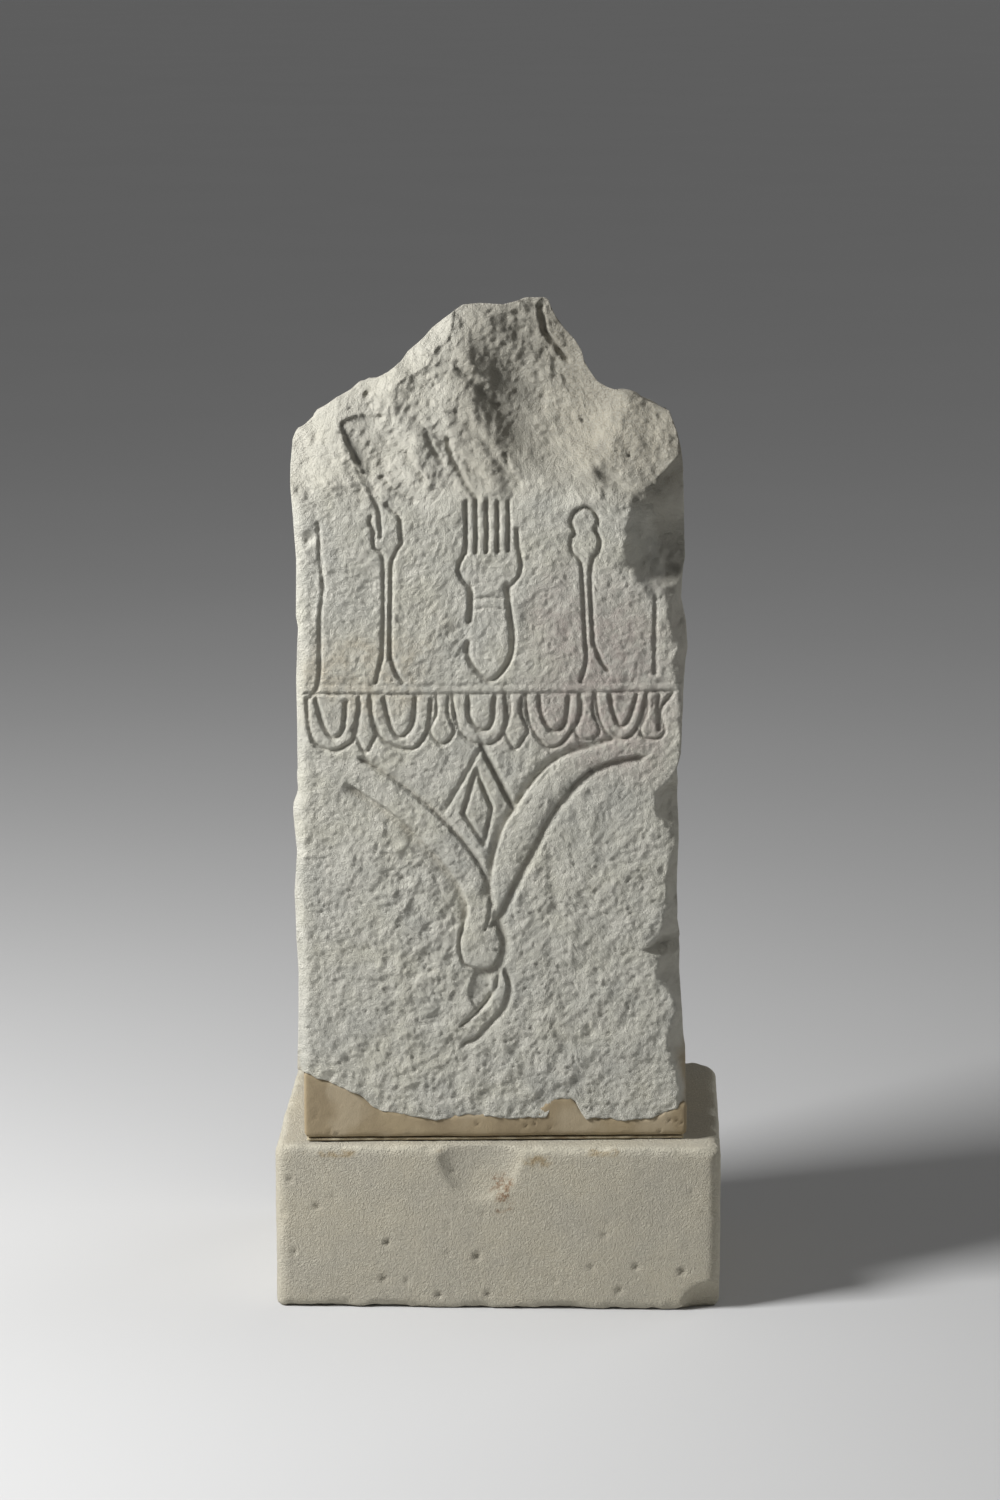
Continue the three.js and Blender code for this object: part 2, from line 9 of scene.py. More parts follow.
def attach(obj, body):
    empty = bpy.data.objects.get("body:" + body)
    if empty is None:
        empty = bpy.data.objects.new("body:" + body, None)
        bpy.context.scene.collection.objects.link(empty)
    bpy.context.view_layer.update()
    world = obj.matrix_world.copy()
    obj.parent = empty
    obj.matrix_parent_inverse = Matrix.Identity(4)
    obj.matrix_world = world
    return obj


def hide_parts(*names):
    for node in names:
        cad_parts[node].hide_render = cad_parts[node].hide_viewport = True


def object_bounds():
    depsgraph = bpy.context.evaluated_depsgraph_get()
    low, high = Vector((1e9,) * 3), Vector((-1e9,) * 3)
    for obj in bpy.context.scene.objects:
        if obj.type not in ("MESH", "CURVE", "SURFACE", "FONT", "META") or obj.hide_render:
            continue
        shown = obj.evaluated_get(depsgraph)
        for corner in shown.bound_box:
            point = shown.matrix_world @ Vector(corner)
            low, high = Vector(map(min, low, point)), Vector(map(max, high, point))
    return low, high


# Looks of a votive stele on its socle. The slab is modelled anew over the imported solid;
# plaster foot, socle and mortar bed start as finer copies of theirs.
# Lengths are in millimetres until a mesh is made. In the stele frame x starts in the middle
# of the slab's width, y in the middle of its thickness and z on the socle's top.

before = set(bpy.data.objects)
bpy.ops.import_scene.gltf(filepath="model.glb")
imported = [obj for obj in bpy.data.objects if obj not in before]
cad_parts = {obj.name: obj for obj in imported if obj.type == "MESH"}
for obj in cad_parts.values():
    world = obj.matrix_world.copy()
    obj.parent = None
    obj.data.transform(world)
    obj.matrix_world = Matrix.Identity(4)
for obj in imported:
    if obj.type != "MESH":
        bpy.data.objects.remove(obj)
cad_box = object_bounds()

MM = 0.001
SEED = 11

# Sizes and places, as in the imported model
SOCLE_HALF_WIDTH = 92.0
SOCLE_HALF_DEPTH = 66.0
SOCLE_TOP = 70.0
STELE_TURN = math.radians(3.2)
STELE_PLACE = (-3.8, -6.0)
STELE_SHIFT = -1.75  # middle of the slab from the middle of the plaster foot
FACE = -53.0
BACK = 53.0
FRACTURE_FOOT = 262.0  # the gable is broken from here up
FRACTURE_SLOPE = 0.42  # how far the break falls back for each mm of height
FRACTURE_RIM = 3.0
RIDGE_DEPTH = 36.0  # the gable's ridge lies this far behind the face
BACK_DROP = 20.0  # and its top falls this much from there to its back
BACK_DROP_FROM = 190.0
BACK_DROP_FULL = 285.0
BACK_ARRIS = 3.0
FACET_BITE = 2.6  # how deep the chisel bit into sides and back
FACET_PROUD = 0.1  # and how far lumps stand out
TOP_LIMIT = 344.7

SIGHT_RISE = 0.091  # how much higher a point appears for each mm behind the face

# Outline of the slab as (height, x)
LEFT_SIDE = [
    (10, -79.8), (33, -79.8), (53, -79.2), (72, -79.0), (86, -79.7), (106, -80.3), (122, -79.1),
    (138, -80.5), (141, -80.5), (147, -78.5), (178, -78.6), (194, -78.8), (206, -78.3), (215, -77.8),
    (220, -78.6), (243, -78.3), (263, -79.7), (274, -80.4), (280, -80.4), (290, -79.5), (293, -78.2),
    (295.5, -76.2),
]
RIGHT_SIDE = [
    (10, 80.3), (38, 80.3), (43, 79.5), (60, 78.1), (75, 77.7), (83, 78.2), (92, 76.6), (112, 76.0),
    (136, 76.6), (150, 76.1), (157, 75.2), (163, 76.8), (194, 78.0), (206, 79.5), (216, 79.0),
    (226, 77.0), (233, 77.4), (242, 78.9), (262, 78.3), (277, 77.8), (287, 76.3), (293, 74.8),
    (299, 72.6), (302, 71.6),
]
# Broken gable and broken foot as (x, height)
GABLE = [
    (-76.2, 295.5), (-72.6, 298.8), (-67.4, 303.8), (-61.8, 308), (-56.4, 310.6), (-52.7, 313.4),
    (-47.5, 314.5), (-41, 318.1), (-35.5, 322.6), (-33.2, 326), (-26.8, 331.6), (-23.2, 335.5),
    (-18, 339.9), (-14, 343), (-10.9, 345.2), (-4.5, 345.8), (5.8, 345.2), (10.2, 346.4),
    (14.9, 348.1), (17.9, 348.8), (21.7, 348.5), (24, 346.9), (25.2, 343.3), (27, 339.8),
    (30, 335.4), (34.4, 330.6), (37.4, 325.6), (38, 321.9), (41.2, 316.7), (43.6, 313.5),
    (47.2, 311.5), (52, 310.3), (57.6, 309.5), (62.4, 306.7), (67.4, 304.6), (71.6, 302.4),
]
BREAK = [
    (-80, 32.2), (-77.5, 31.9), (-72.2, 28.4), (-66.9, 27.3), (-60.8, 24.5), (-53.8, 20.6),
    (-49.7, 16.7), (-46.1, 14.6), (-38.2, 12.8), (-30.4, 11), (-22.6, 10.3), (-15.6, 11.1),
    (-11.1, 12.6), (-4.1, 11.3), (7.6, 10.5), (15.8, 11.1), (22.6, 11.3), (25.8, 18.4),
    (34.3, 18.4), (38.9, 10), (52.9, 9.9), (67, 10.3), (72.7, 12.4), (76.4, 15), (80.5, 16.5),
]
FOOT_OVERLAP = 0.9  # how far the slab reaches below the line of the break
FOOT_RAGGED = 0.7
# Worn front edge on the right, as (height, x)
RIGHT_EDGE = [
    (10, 76), (24, 75.9), (30, 74.2), (39, 71.3), (48, 71.9), (55, 75.3), (60, 74), (66, 69.4),
    (70, 67.7), (78, 66.9), (81, 61.9), (87, 68.9), (91, 69.6), (98, 70.8), (109, 70.7),
    (118, 71.9), (127, 73), (133, 70.9), (136, 67.7), (140, 66), (147, 67.2), (151, 70.8),
    (161, 75.6), (180, 76), (191, 74.9), (194, 74.5), (200, 72.8), (206, 74.8), (213, 71.9),
    (220, 69.8), (275, 64), (280, 67), (286, 70.1), (301, 69),
]

# Edge of the left shoulder block and of the gable's left flank, from the bottom up
LEDGE = [
    (-43.9, 252), (-44.4, 261.2), (-47.8, 269.9), (-53.3, 280.2), (-58.4, 290.2), (-60.7, 295.8),
    (-57, 299), (-50, 300), (-44, 299.5), (-38.5, 300.5), (-37.6, 303), (-38, 307.3),
    (-36.8, 312.1), (-32.4, 314.1), (-25.2, 319.3), (-21.3, 325.2), (-16.5, 329.2), (-14, 343),
    (-13, 356),
]
LEDGE_STEP = 3.0  # how far the shoulder block stands before the break beside it
SHOULDER_SLOPE = 0.41
SHOULDER_START = -62.0  # left of here the block's front falls back towards its side
SIDE_FALL = 0.5
SHOULDER_REACH = 20.0
FLANK_REACH = 22.0
# Heights between which a form sets in, or ends where the first is the greater
GABLE_HEIGHTS = (FRACTURE_FOOT, 272)
LEDGE_HEIGHTS = (250, 258)
SHOULDER_HEIGHTS = (FRACTURE_FOOT, 286)
STEP_FOOT_HEIGHTS = (FRACTURE_FOOT, 274)
STEP_TOP_HEIGHTS = (303, 291)
FLANK_HEIGHTS = (296, 312)
POCKED_HEIGHTS = (166, 112)

# Scoops in the front: middle x and z, radii to the left and right, inward and upward,
# middle's depth, turn in radians, soft rim
SCOOPS = [
    (22, 333, 45, 40, 39, 60, -5, -0.15, 4),
    (58, 331.5, 34, 34, 28, 42, -8, 0, 6),
    (-22, 284, 34, 34, 32, 20, -30, 0, 3),
]
# Dished breaks along the right edge: middle x and z, half width, half height, depth
DISHES = [
    (83, 251, 34, 40, 19),
    (84, 214, 15, 17, 8),
    (84, 141, 20, 17, 10),
    (83, 84, 19, 11, 8),
    (84, 44, 13, 14, 7),
]
DISH_RIM = 1.5
RIGHT_EDGE_FALL = 1.35  # slopes and soft rim of the worn edges
LEFT_EDGE_FALL = 1.05
LEFT_EDGE_DEPTH = 4.2
EDGE_RIM = 1.6

# Carved lines are measured from the plaster foot's middle and the socle's underside. A groove
# is (width of its left slope, width of its right slope, depth), a line (points, *groove).
CARVING_ORIGIN = (-STELE_SHIFT, -SOCLE_TOP)
# Fingers as (x, top, foot)
FINGERS = [
    (-11.9, 336.3, 315.4), (-7.9, 336.2, 316), (-3.6, 336.5, 316), (0.7, 336.2, 316.2),
    (5.1, 336.3, 316.6),
]
FINGER_BEND = 0.15
FINGER_GROOVE = (1.3, 1.2, 1.9)
HAND_LINES = [
    ([(8.6, 325), (9.2, 318.1), (10.4, 311), (9.3, 305.9), (6.5, 302.7), (5.2, 300.7)], 1.2, 1.4, 1.7),
    ([(5.2, 302.2), (5.4, 297.6), (6.2, 290.9), (7.2, 284), (7.4, 278.2)], 1.1, 2.5, 2.2),
    ([(7.4, 279.5), (6.7, 274.2), (4.6, 269.3), (0.8, 264.6), (-2.4, 263)], 1.1, 1.9, 1.8),
    ([(-12, 318), (-12.6, 315), (-14.6, 310.9), (-14.8, 308.1), (-14, 306), (-12, 303.2),
      (-9.9, 301.2)], 1.2, 1.4, 1.8),
    ([(-9.9, 302), (-9.5, 298.3), (-9.7, 292.6), (-10.2, 287.4)], 1.1, 2.3, 2.1),
    ([(-10.9, 279), (-11, 274), (-8.6, 269.2), (-5.4, 265.4), (-2.4, 263)], 1.2, 2.0, 1.8),
    ([(-8.7, 296.6), (-3, 297.6), (6, 296.4)], 1.2, 1.0, 0.6),
    ([(-8.7, 292.4), (-2, 293.2), (6.6, 291.6)], 1.2, 1.0, 0.5),
]
STAFF_LINES = [
    ([(-43.9, 335.3), (-42.3, 333.2), (-39.5, 331.2), (-38.3, 328.8), (-38, 321.9), (-37.6, 319.7),
      (-39.6, 316.7), (-41.6, 312), (-42.1, 305), (-42.6, 276), (-41.8, 271.5), (-39.9, 266.2),
      (-37.3, 262.7)], 1.4, 1.2, 1.7),
    ([(-49.9, 330.2), (-50.4, 327.6), (-48.6, 324.4), (-49, 321.2), (-48.3, 317.6),
      (-45.6, 315), (-44.9, 305), (-45.4, 276), (-46.7, 269.5), (-48.3, 262.7)], 1.1, 1.3, 1.5),
    ([(36, 334), (39.4, 332), (41.2, 328.3), (40, 324.8), (41.6, 321.8), (41.9, 318.8), (40.8, 315.4),
      (38.9, 312.6), (38.1, 304.6), (39.3, 280), (40.3, 276.9), (42, 272), (45.2, 267.4)], 1.4, 1.2, 1.7),
    ([(36, 334), (31.8, 331.6), (30.2, 327.6), (31.8, 323.9), (30.5, 321.2), (30.2, 318.2),
      (31.4, 314.8), (34, 312.4), (35, 304.6), (36.3, 280), (36.7, 272), (35.5, 265.8), (34.4, 263)],
     1.1, 1.3, 1.5),
]
EGG_GROOVE = (1.3, 1.5, 1.7)
EGG_LINES = [
    [(-76.3, 256.5), (-75.5, 245), (-72.9, 238), (-66.3, 234.8), (-60.4, 237), (-57, 241), (-55, 254)],
    [(-50.8, 257.8), (-49.6, 247.3), (-47.2, 241.2), (-43, 237.4), (-38, 235.6), (-32.7, 235.9),
     (-27.5, 243.1), (-26, 256)],
    [(-17.7, 258), (-16.7, 250.9), (-14.7, 243.1), (-8.9, 237.7), (-2, 237.2), (2.9, 241.7),
     (4.5, 248.7), (3.7, 258)],
    [(12.1, 257.8), (13, 248.7), (15.2, 242.7), (20.7, 236), (25, 236.3), (28.3, 239.1),
     (33.6, 247.4), (33.9, 257.8)],
    [(40.4, 257.9), (41.7, 248.6), (44.9, 241.9), (50.5, 239), (55.9, 241.9), (59.5, 249.7), (61, 258)],
    [(71.5, 257.9), (66.9, 251.3), (66.2, 243.1)],
]
YOLK_GROOVE = (1.4, 1.5, 1.8)
YOLK_LINES = [
    [(-72.6, 256), (-69.8, 245.8), (-65.8, 240), (-61.6, 244), (-60.5, 255)],
    [(-45.1, 256.5), (-42.4, 245), (-38.6, 240.2), (-33.6, 245.4), (-32.4, 256.7)],
    [(-11, 257), (-10.5, 248.2), (-6.8, 243.4), (-3.6, 243.4), (-1.2, 247.1), (-0.4, 256.6)],
    [(17.6, 256.9), (18.5, 249.9), (21.7, 243.7), (25, 242.6), (28.3, 246), (29.5, 256.8)],
    [(46.3, 257.4), (47.7, 249.8), (51, 244.2), (54.6, 248.8), (57, 257.2)],
]
# Darts as (x, height of the tip)
DART_GROOVE = (1.1, 1.2, 1.4)
DARTS = [(-52.6, 234), (-21.6, 237.2), (8.1, 235.2), (37.2, 238.8), (63.5, 239)]
FRIEZE_LINES = [
    ([(-77, 258.6), (-40, 258), (0, 258.2), (40, 258.6), (73, 259)], 0.8, 1.4, 0.9),
    ([(-76, 262), (-30, 261.2), (20, 261.8), (70, 262.4)], 1.6, 0.8, 0.35),
]
RIBBON_LINES = [
    ([(-54, 230.5), (-42.1, 223.2), (-31.8, 215), (-21.9, 206.3), (-13.8, 197.1), (-8.1, 189.1),
      (-4.5, 182), (-2.9, 176), (-2.4, 171)], 3.0, 0.9, 1.9),
    ([(-57, 219), (-46.2, 211.4), (-36.9, 204.1), (-29.2, 195.9), (-22.6, 188.8), (-16.3, 180.4),
      (-11.8, 170.9), (-11.8, 164.8)], 0.8, 5.5, 2.3),
    ([(-34, 194.6), (-28, 187), (-23.2, 178.8), (-19.4, 170), (-15.4, 163)], 0.7, 0.9, 0.7),
    ([(-2.4, 176), (-2, 180.5), (-0.4, 191.1), (3.3, 202.8), (7.7, 210.3), (12.2, 217.3),
      (17.9, 224.7), (24.7, 230.5), (32.8, 234.2), (40.5, 236.2), (48, 239)], 4.2, 0.8, 1.9),
    ([(-1.2, 163), (1.6, 166.4), (7.8, 179.8), (14.7, 193.1), (21.4, 206), (28, 215.5), (34.9, 223),
      (40.5, 227.1), (49, 230.4), (58, 232)], 0.8, 3.6, 2.3),
    ([(-2.4, 172), (-2.6, 166), (-4.4, 160)], 1.0, 1.0, 1.2),
]
LOZENGE_LINES = [
    ([(-6.2, 236.4), (-2, 227.5), (6.5, 210.7)], 3.4, 0.8, 2.6),
    ([(-5.9, 235.4), (-13.5, 221.5), (-21.5, 207.7)], 0.8, 2.2, 1.2),
    ([(-21.5, 207.7), (-12, 196), (-3.4, 184)], 0.8, 1.4, 1.5),
    ([(-8, 226.6), (-1.6, 210.8)], 1.5, 1.3, 2.0),
    ([(-1.6, 210.8), (-4.7, 195.8)], 1.4, 1.4, 1.9),
    ([(-4.7, 195.8), (-13.2, 208.6)], 1.3, 1.2, 1.7),
    ([(-13.2, 208.6), (-8, 226.6)], 1.4, 1.5, 1.9),
]
BULB_LINES = [
    ([(-11.8, 166), (-13.9, 158.6), (-14.7, 153.5), (-13.5, 147.2), (-11.4, 144.6), (-6.9, 143.3)],
     0.8, 1.6, 1.9),
    ([(-6.9, 143.3), (-2, 143.6), (1.3, 148), (2.5, 153), (1.9, 157), (0, 162.6)], 0.8, 4.6, 2.4),
    ([(3.6, 142), (4.9, 138.2), (4.9, 133.1), (3.3, 127.6), (0.2, 123.4), (-4.1, 118.8),
      (-7.8, 114.6), (-13, 112)], 2.6, 1.0, 2.0),
    ([(1.2, 142.9), (0.6, 137), (-2, 131.6), (-6.1, 126.4), (-9.4, 123.5), (-13.5, 119.5)],
     0.9, 1.8, 1.5),
]
BORDER_LINES = [
    ([(-71.1, 328), (-70.4, 313.2), (-69.3, 301), (-70.6, 290), (-71.2, 264.3), (-75.2, 256.6)],
     1.3, 1.3, 1.4),
    ([(64.4, 300), (64.2, 289), (64.2, 266)], 1.6, 1.2, 1.2),
]
# Bands that stand a little proud, as (points of the middle line, half width)
SWELLING_HEIGHT = 0.5
SWELLINGS = [
    ([(-55, 225), (-44, 217), (-34, 209.5), (-25.5, 201), (-18, 192), (-12, 182.5), (-8, 173),
      (-7, 166)], 5.6),
    ([(56, 235.6), (44, 233), (33, 229), (23, 220), (15, 207), (8.6, 195), (3.4, 183),
      (-0.6, 172)], 4.8),
    ([(-6.4, 160), (-6.2, 149)], 8.0),
]
# Cracks and small steps in the broken gable, as lines
CRACK_LINES = [
    ([(-55, 349), (-52, 344), (-49, 338.6), (-46.8, 333), (-46.2, 327), (-45.9, 322)], 0.9, 1.6, 1.7),
    ([(19.4, 411), (20.7, 403.4), (22.3, 399.5), (25.9, 395.1), (29.9, 390.2)], 1.4, 2.6, 2.4),
    ([(-26.6, 361), (-24.3, 356.1), (-21.1, 351.7)], 0.8, 2.6, 1.8),
    ([(-18.6, 360), (-16.7, 352.5), (-13.9, 347.6), (-10.7, 342), (-7.1, 338.4)], 1.0, 2.4, 2.2),
    ([(4.4, 354), (6.4, 348), (9.6, 343.9)], 0.9, 2.4, 1.6),
    ([(-45.5, 345.6), (-39, 340), (-32.8, 336.4)], 1.0, 1.6, 1.4),
    ([(-36, 355), (-32, 350), (-28.4, 345.4)], 1.0, 3.0, 1.8),
    ([(-14.8, 387), (-9.5, 382.4), (-4.5, 376.8), (1.2, 372.2)], 4.5, 2.0, 2.0),
    ([(-32, 368), (-22, 360), (-12, 352), (-4, 344)], 2.4, 3.2, 1.2),
    ([(-10, 366), (-1, 356), (5, 346)], 2.4, 3.2, 1.2),
    ([(38, 352), (44, 346), (50, 343)], 2.4, 3.2, 1.2),
]
# Small round holes as (x, height, radius, depth), measured like the carved lines
NOTCHES = [(-51.2, 377, 2.0, 2.4), (35.3, 365.9, 1.0, 1.6), (53.6, 353.4, 0.9, 1.2), (-75, 322, 3.4, 1.6)]

# Ovals in the stele frame as (x, height, half width, half height), with a depth where it has five
TAIL_RECESS = (-4.4, 64, 4.6, 8.6, 1.1)
ROUGH_PATCHES = [
    (-13.2, 210.5, 6.5, 7.5, 0.5),
    (-2, 202, 3.5, 3, 0.3),
    (-73, 232, 5, 24, 0.5),
    (68, 186, 5, 12, 0.4),
]
PINK_PATCH = (44, 192, 36, 40)
OCHRE_PATCH = (-48, 196, 34, 26)
OCHRE_SHOULDER = (52, 296, 30, 20)
# Between which heights and x painted shade darkens the gable's hollow and the break to its right
PAINTED_SHADE_HEIGHTS = (FRACTURE_FOOT, 282)
PAINTED_SHADE_LEFT = (-20, -8)
PAINTED_SHADE_RIGHT = (15, 38)
# Plaster is smeared over the foot between these heights, depths and distances from the middle
SKIM_HEIGHTS = (46, 34)
SKIM_DEPTHS = (2, 7)
SKIM_WIDTHS = (68, 74)

# How finely the slab is meshed
FRONT_COLUMNS = 248
FRONT_ROWS = 520
FINE_RINGS = 8
RING_STEP = 1.5
BORDER_SPAN = 7  # how many points each way give the border's direction
BACK_NOISE_Y = 500.0  # where the back's lumps are taken from the noise

# Large numbers that scatter a cell's place and the seed over 32 bits
HASH_STEPS = (374761393, 668265263, 1442695041, 974634777)
HASH_MIX = 1274126177
WORD = 0xFFFFFFFF
FRACTION = 0xFFFFFF

# Each octave of bumps lies turned over the last one
OCTAVE_TURN = np.array([[0.36, 0.48, -0.8], [-0.8, 0.6, 0.0], [0.48, 0.64, 0.6]])


# Numbers for weathered stone

def ease(low, high, value):
    """0 up to low and 1 from high on, with a smooth way between; high may be the smaller one."""
    share = np.clip((value - low) / (high - low), 0, 1)
    return share * share * (3 - 2 * share)


def soft_max(a, b, width):
    """The larger of two depths, rounded where they meet."""
    share = np.clip(0.5 + 0.5 * (a - b) / width, 0, 1)
    return b * (1 - share) + a * share + width * share * (1 - share)


def oval(x, z, middle_x, middle_z, half_width, half_height):
    """Distance from the middle of an oval, 1 on its border."""
    return np.hypot((x - middle_x) / half_width, (z - middle_z) / half_height)


def hashed(i, j, k, seed):
    """A random number between 0 and 1 for each cell."""
    h = sum(step * part for step, part in zip(HASH_STEPS, (i, j, k, seed))) & WORD
    h = ((h ^ (h >> 13)) * HASH_MIX) & WORD
    return ((h ^ (h >> 16)) & FRACTION) / float(FRACTION)


def grain(points, size, seed):
    """Smooth random bumps between -1 and 1, about size wide."""
    q = points / size
    cell = np.floor(q).astype(np.int64)
    f = q - cell
    f = f * f * f * (f * (f * 6 - 15) + 10)
    total = np.zeros(len(points))
    for a in (0, 1):
        for b in (0, 1):
            for c in (0, 1):
                weight = (f[:, 0] if a else 1 - f[:, 0])
                weight = weight * (f[:, 1] if b else 1 - f[:, 1])
                weight = weight * (f[:, 2] if c else 1 - f[:, 2])
                total += weight * hashed(cell[:, 0] + a, cell[:, 1] + b, cell[:, 2] + c, seed)
    return total * 2 - 1


def bumps(points, size, octaves, seed, gain=0.5):
    """Random bumps with finer ones on top, each octave half as wide."""
    total = np.zeros(len(points))
    weight = 1.0
    for octave in range(octaves):
        total += weight * grain(points, size, seed + octave)
        points = points @ OCTAVE_TURN
        size *= 0.5
        weight *= gain
    return total


def scattered(u, v, size, seed):
    """For one scattered point in each of the nine cells around: the way to it and its own number."""
    i0, j0 = np.floor(u / size).astype(np.int64), np.floor(v / size).astype(np.int64)
    for di in (-1, 0, 1):
        for dj in (-1, 0, 1):
            i, j = i0 + di, j0 + dj
            du = (i + 0.15 + 0.7 * hashed(i, j, 1, seed)) * size - u
            dv = (j + 0.15 + 0.7 * hashed(i, j, 2, seed)) * size - v
            yield du, dv, hashed(i, j, 3, seed)


def bowls(u, v, size, depth, seed):
    """Shallow dished facets that meet in ridges, as a chisel or a break leaves them."""
    deepest = np.zeros(u.shape)
    for du, dv, number in scattered(u, v, size, seed):
        own = depth * (0.45 + 0.55 * number)
        deepest = np.maximum(deepest, own - (du * du + dv * dv) * depth / (0.55 * size * size))
    return deepest


def pits(u, v, size, share, seed):
    """Small round holes of depth 1 in a share of the cells."""
    nearest = np.full(u.shape, np.inf)
    nearest_number = np.zeros(u.shape)
    for du, dv, number in scattered(u, v, size, seed):
        distance = np.hypot(du, dv)
        nearer = distance < nearest
        nearest = np.where(nearer, distance, nearest)
        nearest_number = np.where(nearer, number, nearest_number)
    radius = size * 0.3 * np.clip(nearest_number / share, 0.3, 1)
    hole = np.clip(1 - (nearest / radius) ** 2, 0, 1)
    return np.where(nearest_number < share, hole, 0)


# Carved lines

def curve(points, steps=4):
    """A smooth line through a few points."""
    p = np.array([points[0], *points, points[-1]], float)
    line = []
    for a, b, c, d in zip(p[:-3], p[1:-2], p[2:-1], p[3:]):
        for t in np.arange(steps) / steps:
            line.append(0.5 * (2 * b + (c - a) * t + (2 * a - 5 * b + 4 * c - d) * t**2
                               + (3 * b - a - 3 * c + d) * t**3))
    return np.array([*line, p[-1]])


def line_distance(x, z, line):
    """Distance from a line, positive on its left."""
    best = np.full(x.shape, 1e12)
    side = np.ones(x.shape)
    for (ax, az), (bx, bz) in zip(line[:-1], line[1:]):
        dx, dz = bx - ax, bz - az
        share = np.clip(((x - ax) * dx + (z - az) * dz) / (dx * dx + dz * dz), 0, 1)
        ex, ez = x - ax - share * dx, z - az - share * dz
        squared = ex * ex + ez * ez
        nearer = squared < best
        best = np.where(nearer, squared, best)
        side = np.where(nearer, np.sign(dx * ez - dz * ex), side)
    return np.sqrt(best) * side


def carving_line(points):
    """A carved line's curve in the stele frame."""
    return curve(points) + np.array(CARVING_ORIGIN)


def cut_line(relief, x, z, points, left, right, depth):
    """Cuts a groove along a line into the relief, with its own slope on each side."""
    line = carving_line(points)
    reach = max(left, right)
    low, high = line.min(0) - reach, line.max(0) + reach
    near = (x > low[0]) & (x < high[0]) & (z > low[1]) & (z < high[1])
    distance = line_distance(x[near], z[near], line)
    width = np.where(distance > 0, left, right)
    share = np.clip(1 - np.abs(distance) / width, 0, 1)
    groove = depth * (0.45 * share + 0.55 * share * share * (3 - 2 * share))
    relief[near] = np.maximum(relief[near], groove)


def finger_points(x, top, foot):
    return [(x, top), (x + FINGER_BEND, (top + foot) / 2), (x, foot)]


def dart_points(x, tip):
    return [(x - 2.6, 257), (x - 2.3, 250), (x - 4.9, 243.5), (x - 3.6, 240), (x, tip),
            (x + 3.6, 240), (x + 4.9, 243.5), (x + 2.3, 250), (x + 2.6, 257)]


def carving(x, z):
    """Depth of all carved lines."""
    lines = [(finger_points(*finger), *FINGER_GROOVE) for finger in FINGERS]
    lines += HAND_LINES + STAFF_LINES + FRIEZE_LINES + RIBBON_LINES + LOZENGE_LINES + BULB_LINES
    lines += BORDER_LINES
    lines += [(points, *EGG_GROOVE) for points in EGG_LINES]
    lines += [(points, *YOLK_GROOVE) for points in YOLK_LINES]
    lines += [(dart_points(*dart), *DART_GROOVE) for dart in DARTS]
    relief = np.zeros(x.shape)
    for line in lines:
        cut_line(relief, x, z, *line)
    return relief


def swelling(x, z):
    """Height of the slightly rounded ribbons and bulb, and the recess in the bulb's tail."""
    total = np.zeros(x.shape)
    for points, half in SWELLINGS:
        distance = line_distance(x, z, carving_line(points))
        total = np.maximum(total, SWELLING_HEIGHT * np.clip(1 - (distance / half) ** 2, 0, 1))
    return total - TAIL_RECESS[-1] * ease(1.15, 0.7, oval(x, z, *TAIL_RECESS[:4]) ** 2)


# The slab

def outline_x(side, z):
    heights, xs = zip(*side)
    return np.interp(z, heights, xs)


def gable_z(x):
    """Height of the gable's front edge: it lies behind the face, so it looks higher than it is."""
    xs, heights = zip(*GABLE)
    seen = np.interp(x, xs, heights)
    depth = np.clip(FRACTURE_SLOPE * (seen - FRACTURE_FOOT), 0, RIDGE_DEPTH)
    return np.minimum(seen - SIGHT_RISE * depth, TOP_LIMIT)


def break_z(x):
    xs, heights = zip(*BREAK)
    return np.interp(x, xs, heights)


def between(share, start, end):
    return start + share * (end - start)


def grid(columns, rows):
    """x and z of a net laid over the slab's outline."""
    u = np.linspace(0, 1, columns + 1)
    v = np.linspace(0, 1, rows + 1)[:, None]
    foot_x = between(u, LEFT_SIDE[0][1], RIGHT_SIDE[0][1])
    foot = np.stack([foot_x, np.zeros_like(foot_x), np.zeros_like(foot_x)], -1)
    low = break_z(foot_x) - FOOT_OVERLAP - FOOT_RAGGED * bumps(foot, 6, 3, SEED + 45)
    high = gable_z(between(u, GABLE[0][0], GABLE[-1][0]))
    z = between(v, low, high)
    x = (1 - u) * outline_x(LEFT_SIDE, z) + u * outline_x(RIGHT_SIDE, z)
    return x, z


def scoop_depth(x, z, middle_x, middle_z, left, right, inward, upward, middle, turn):
    """Depth of a hollow shaped like half an egg, which may be wider on one side."""
    dx, dz = x - middle_x, z - middle_z
    across = dx * math.cos(turn) - dz * math.sin(turn)
    a = across / np.where(across < 0, left, right)
    b = (dx * math.sin(turn) + dz * math.cos(turn)) / upward
    inside = np.clip(1 - a * a - b * b, 0, None)
    return middle + inward * np.sqrt(inside)


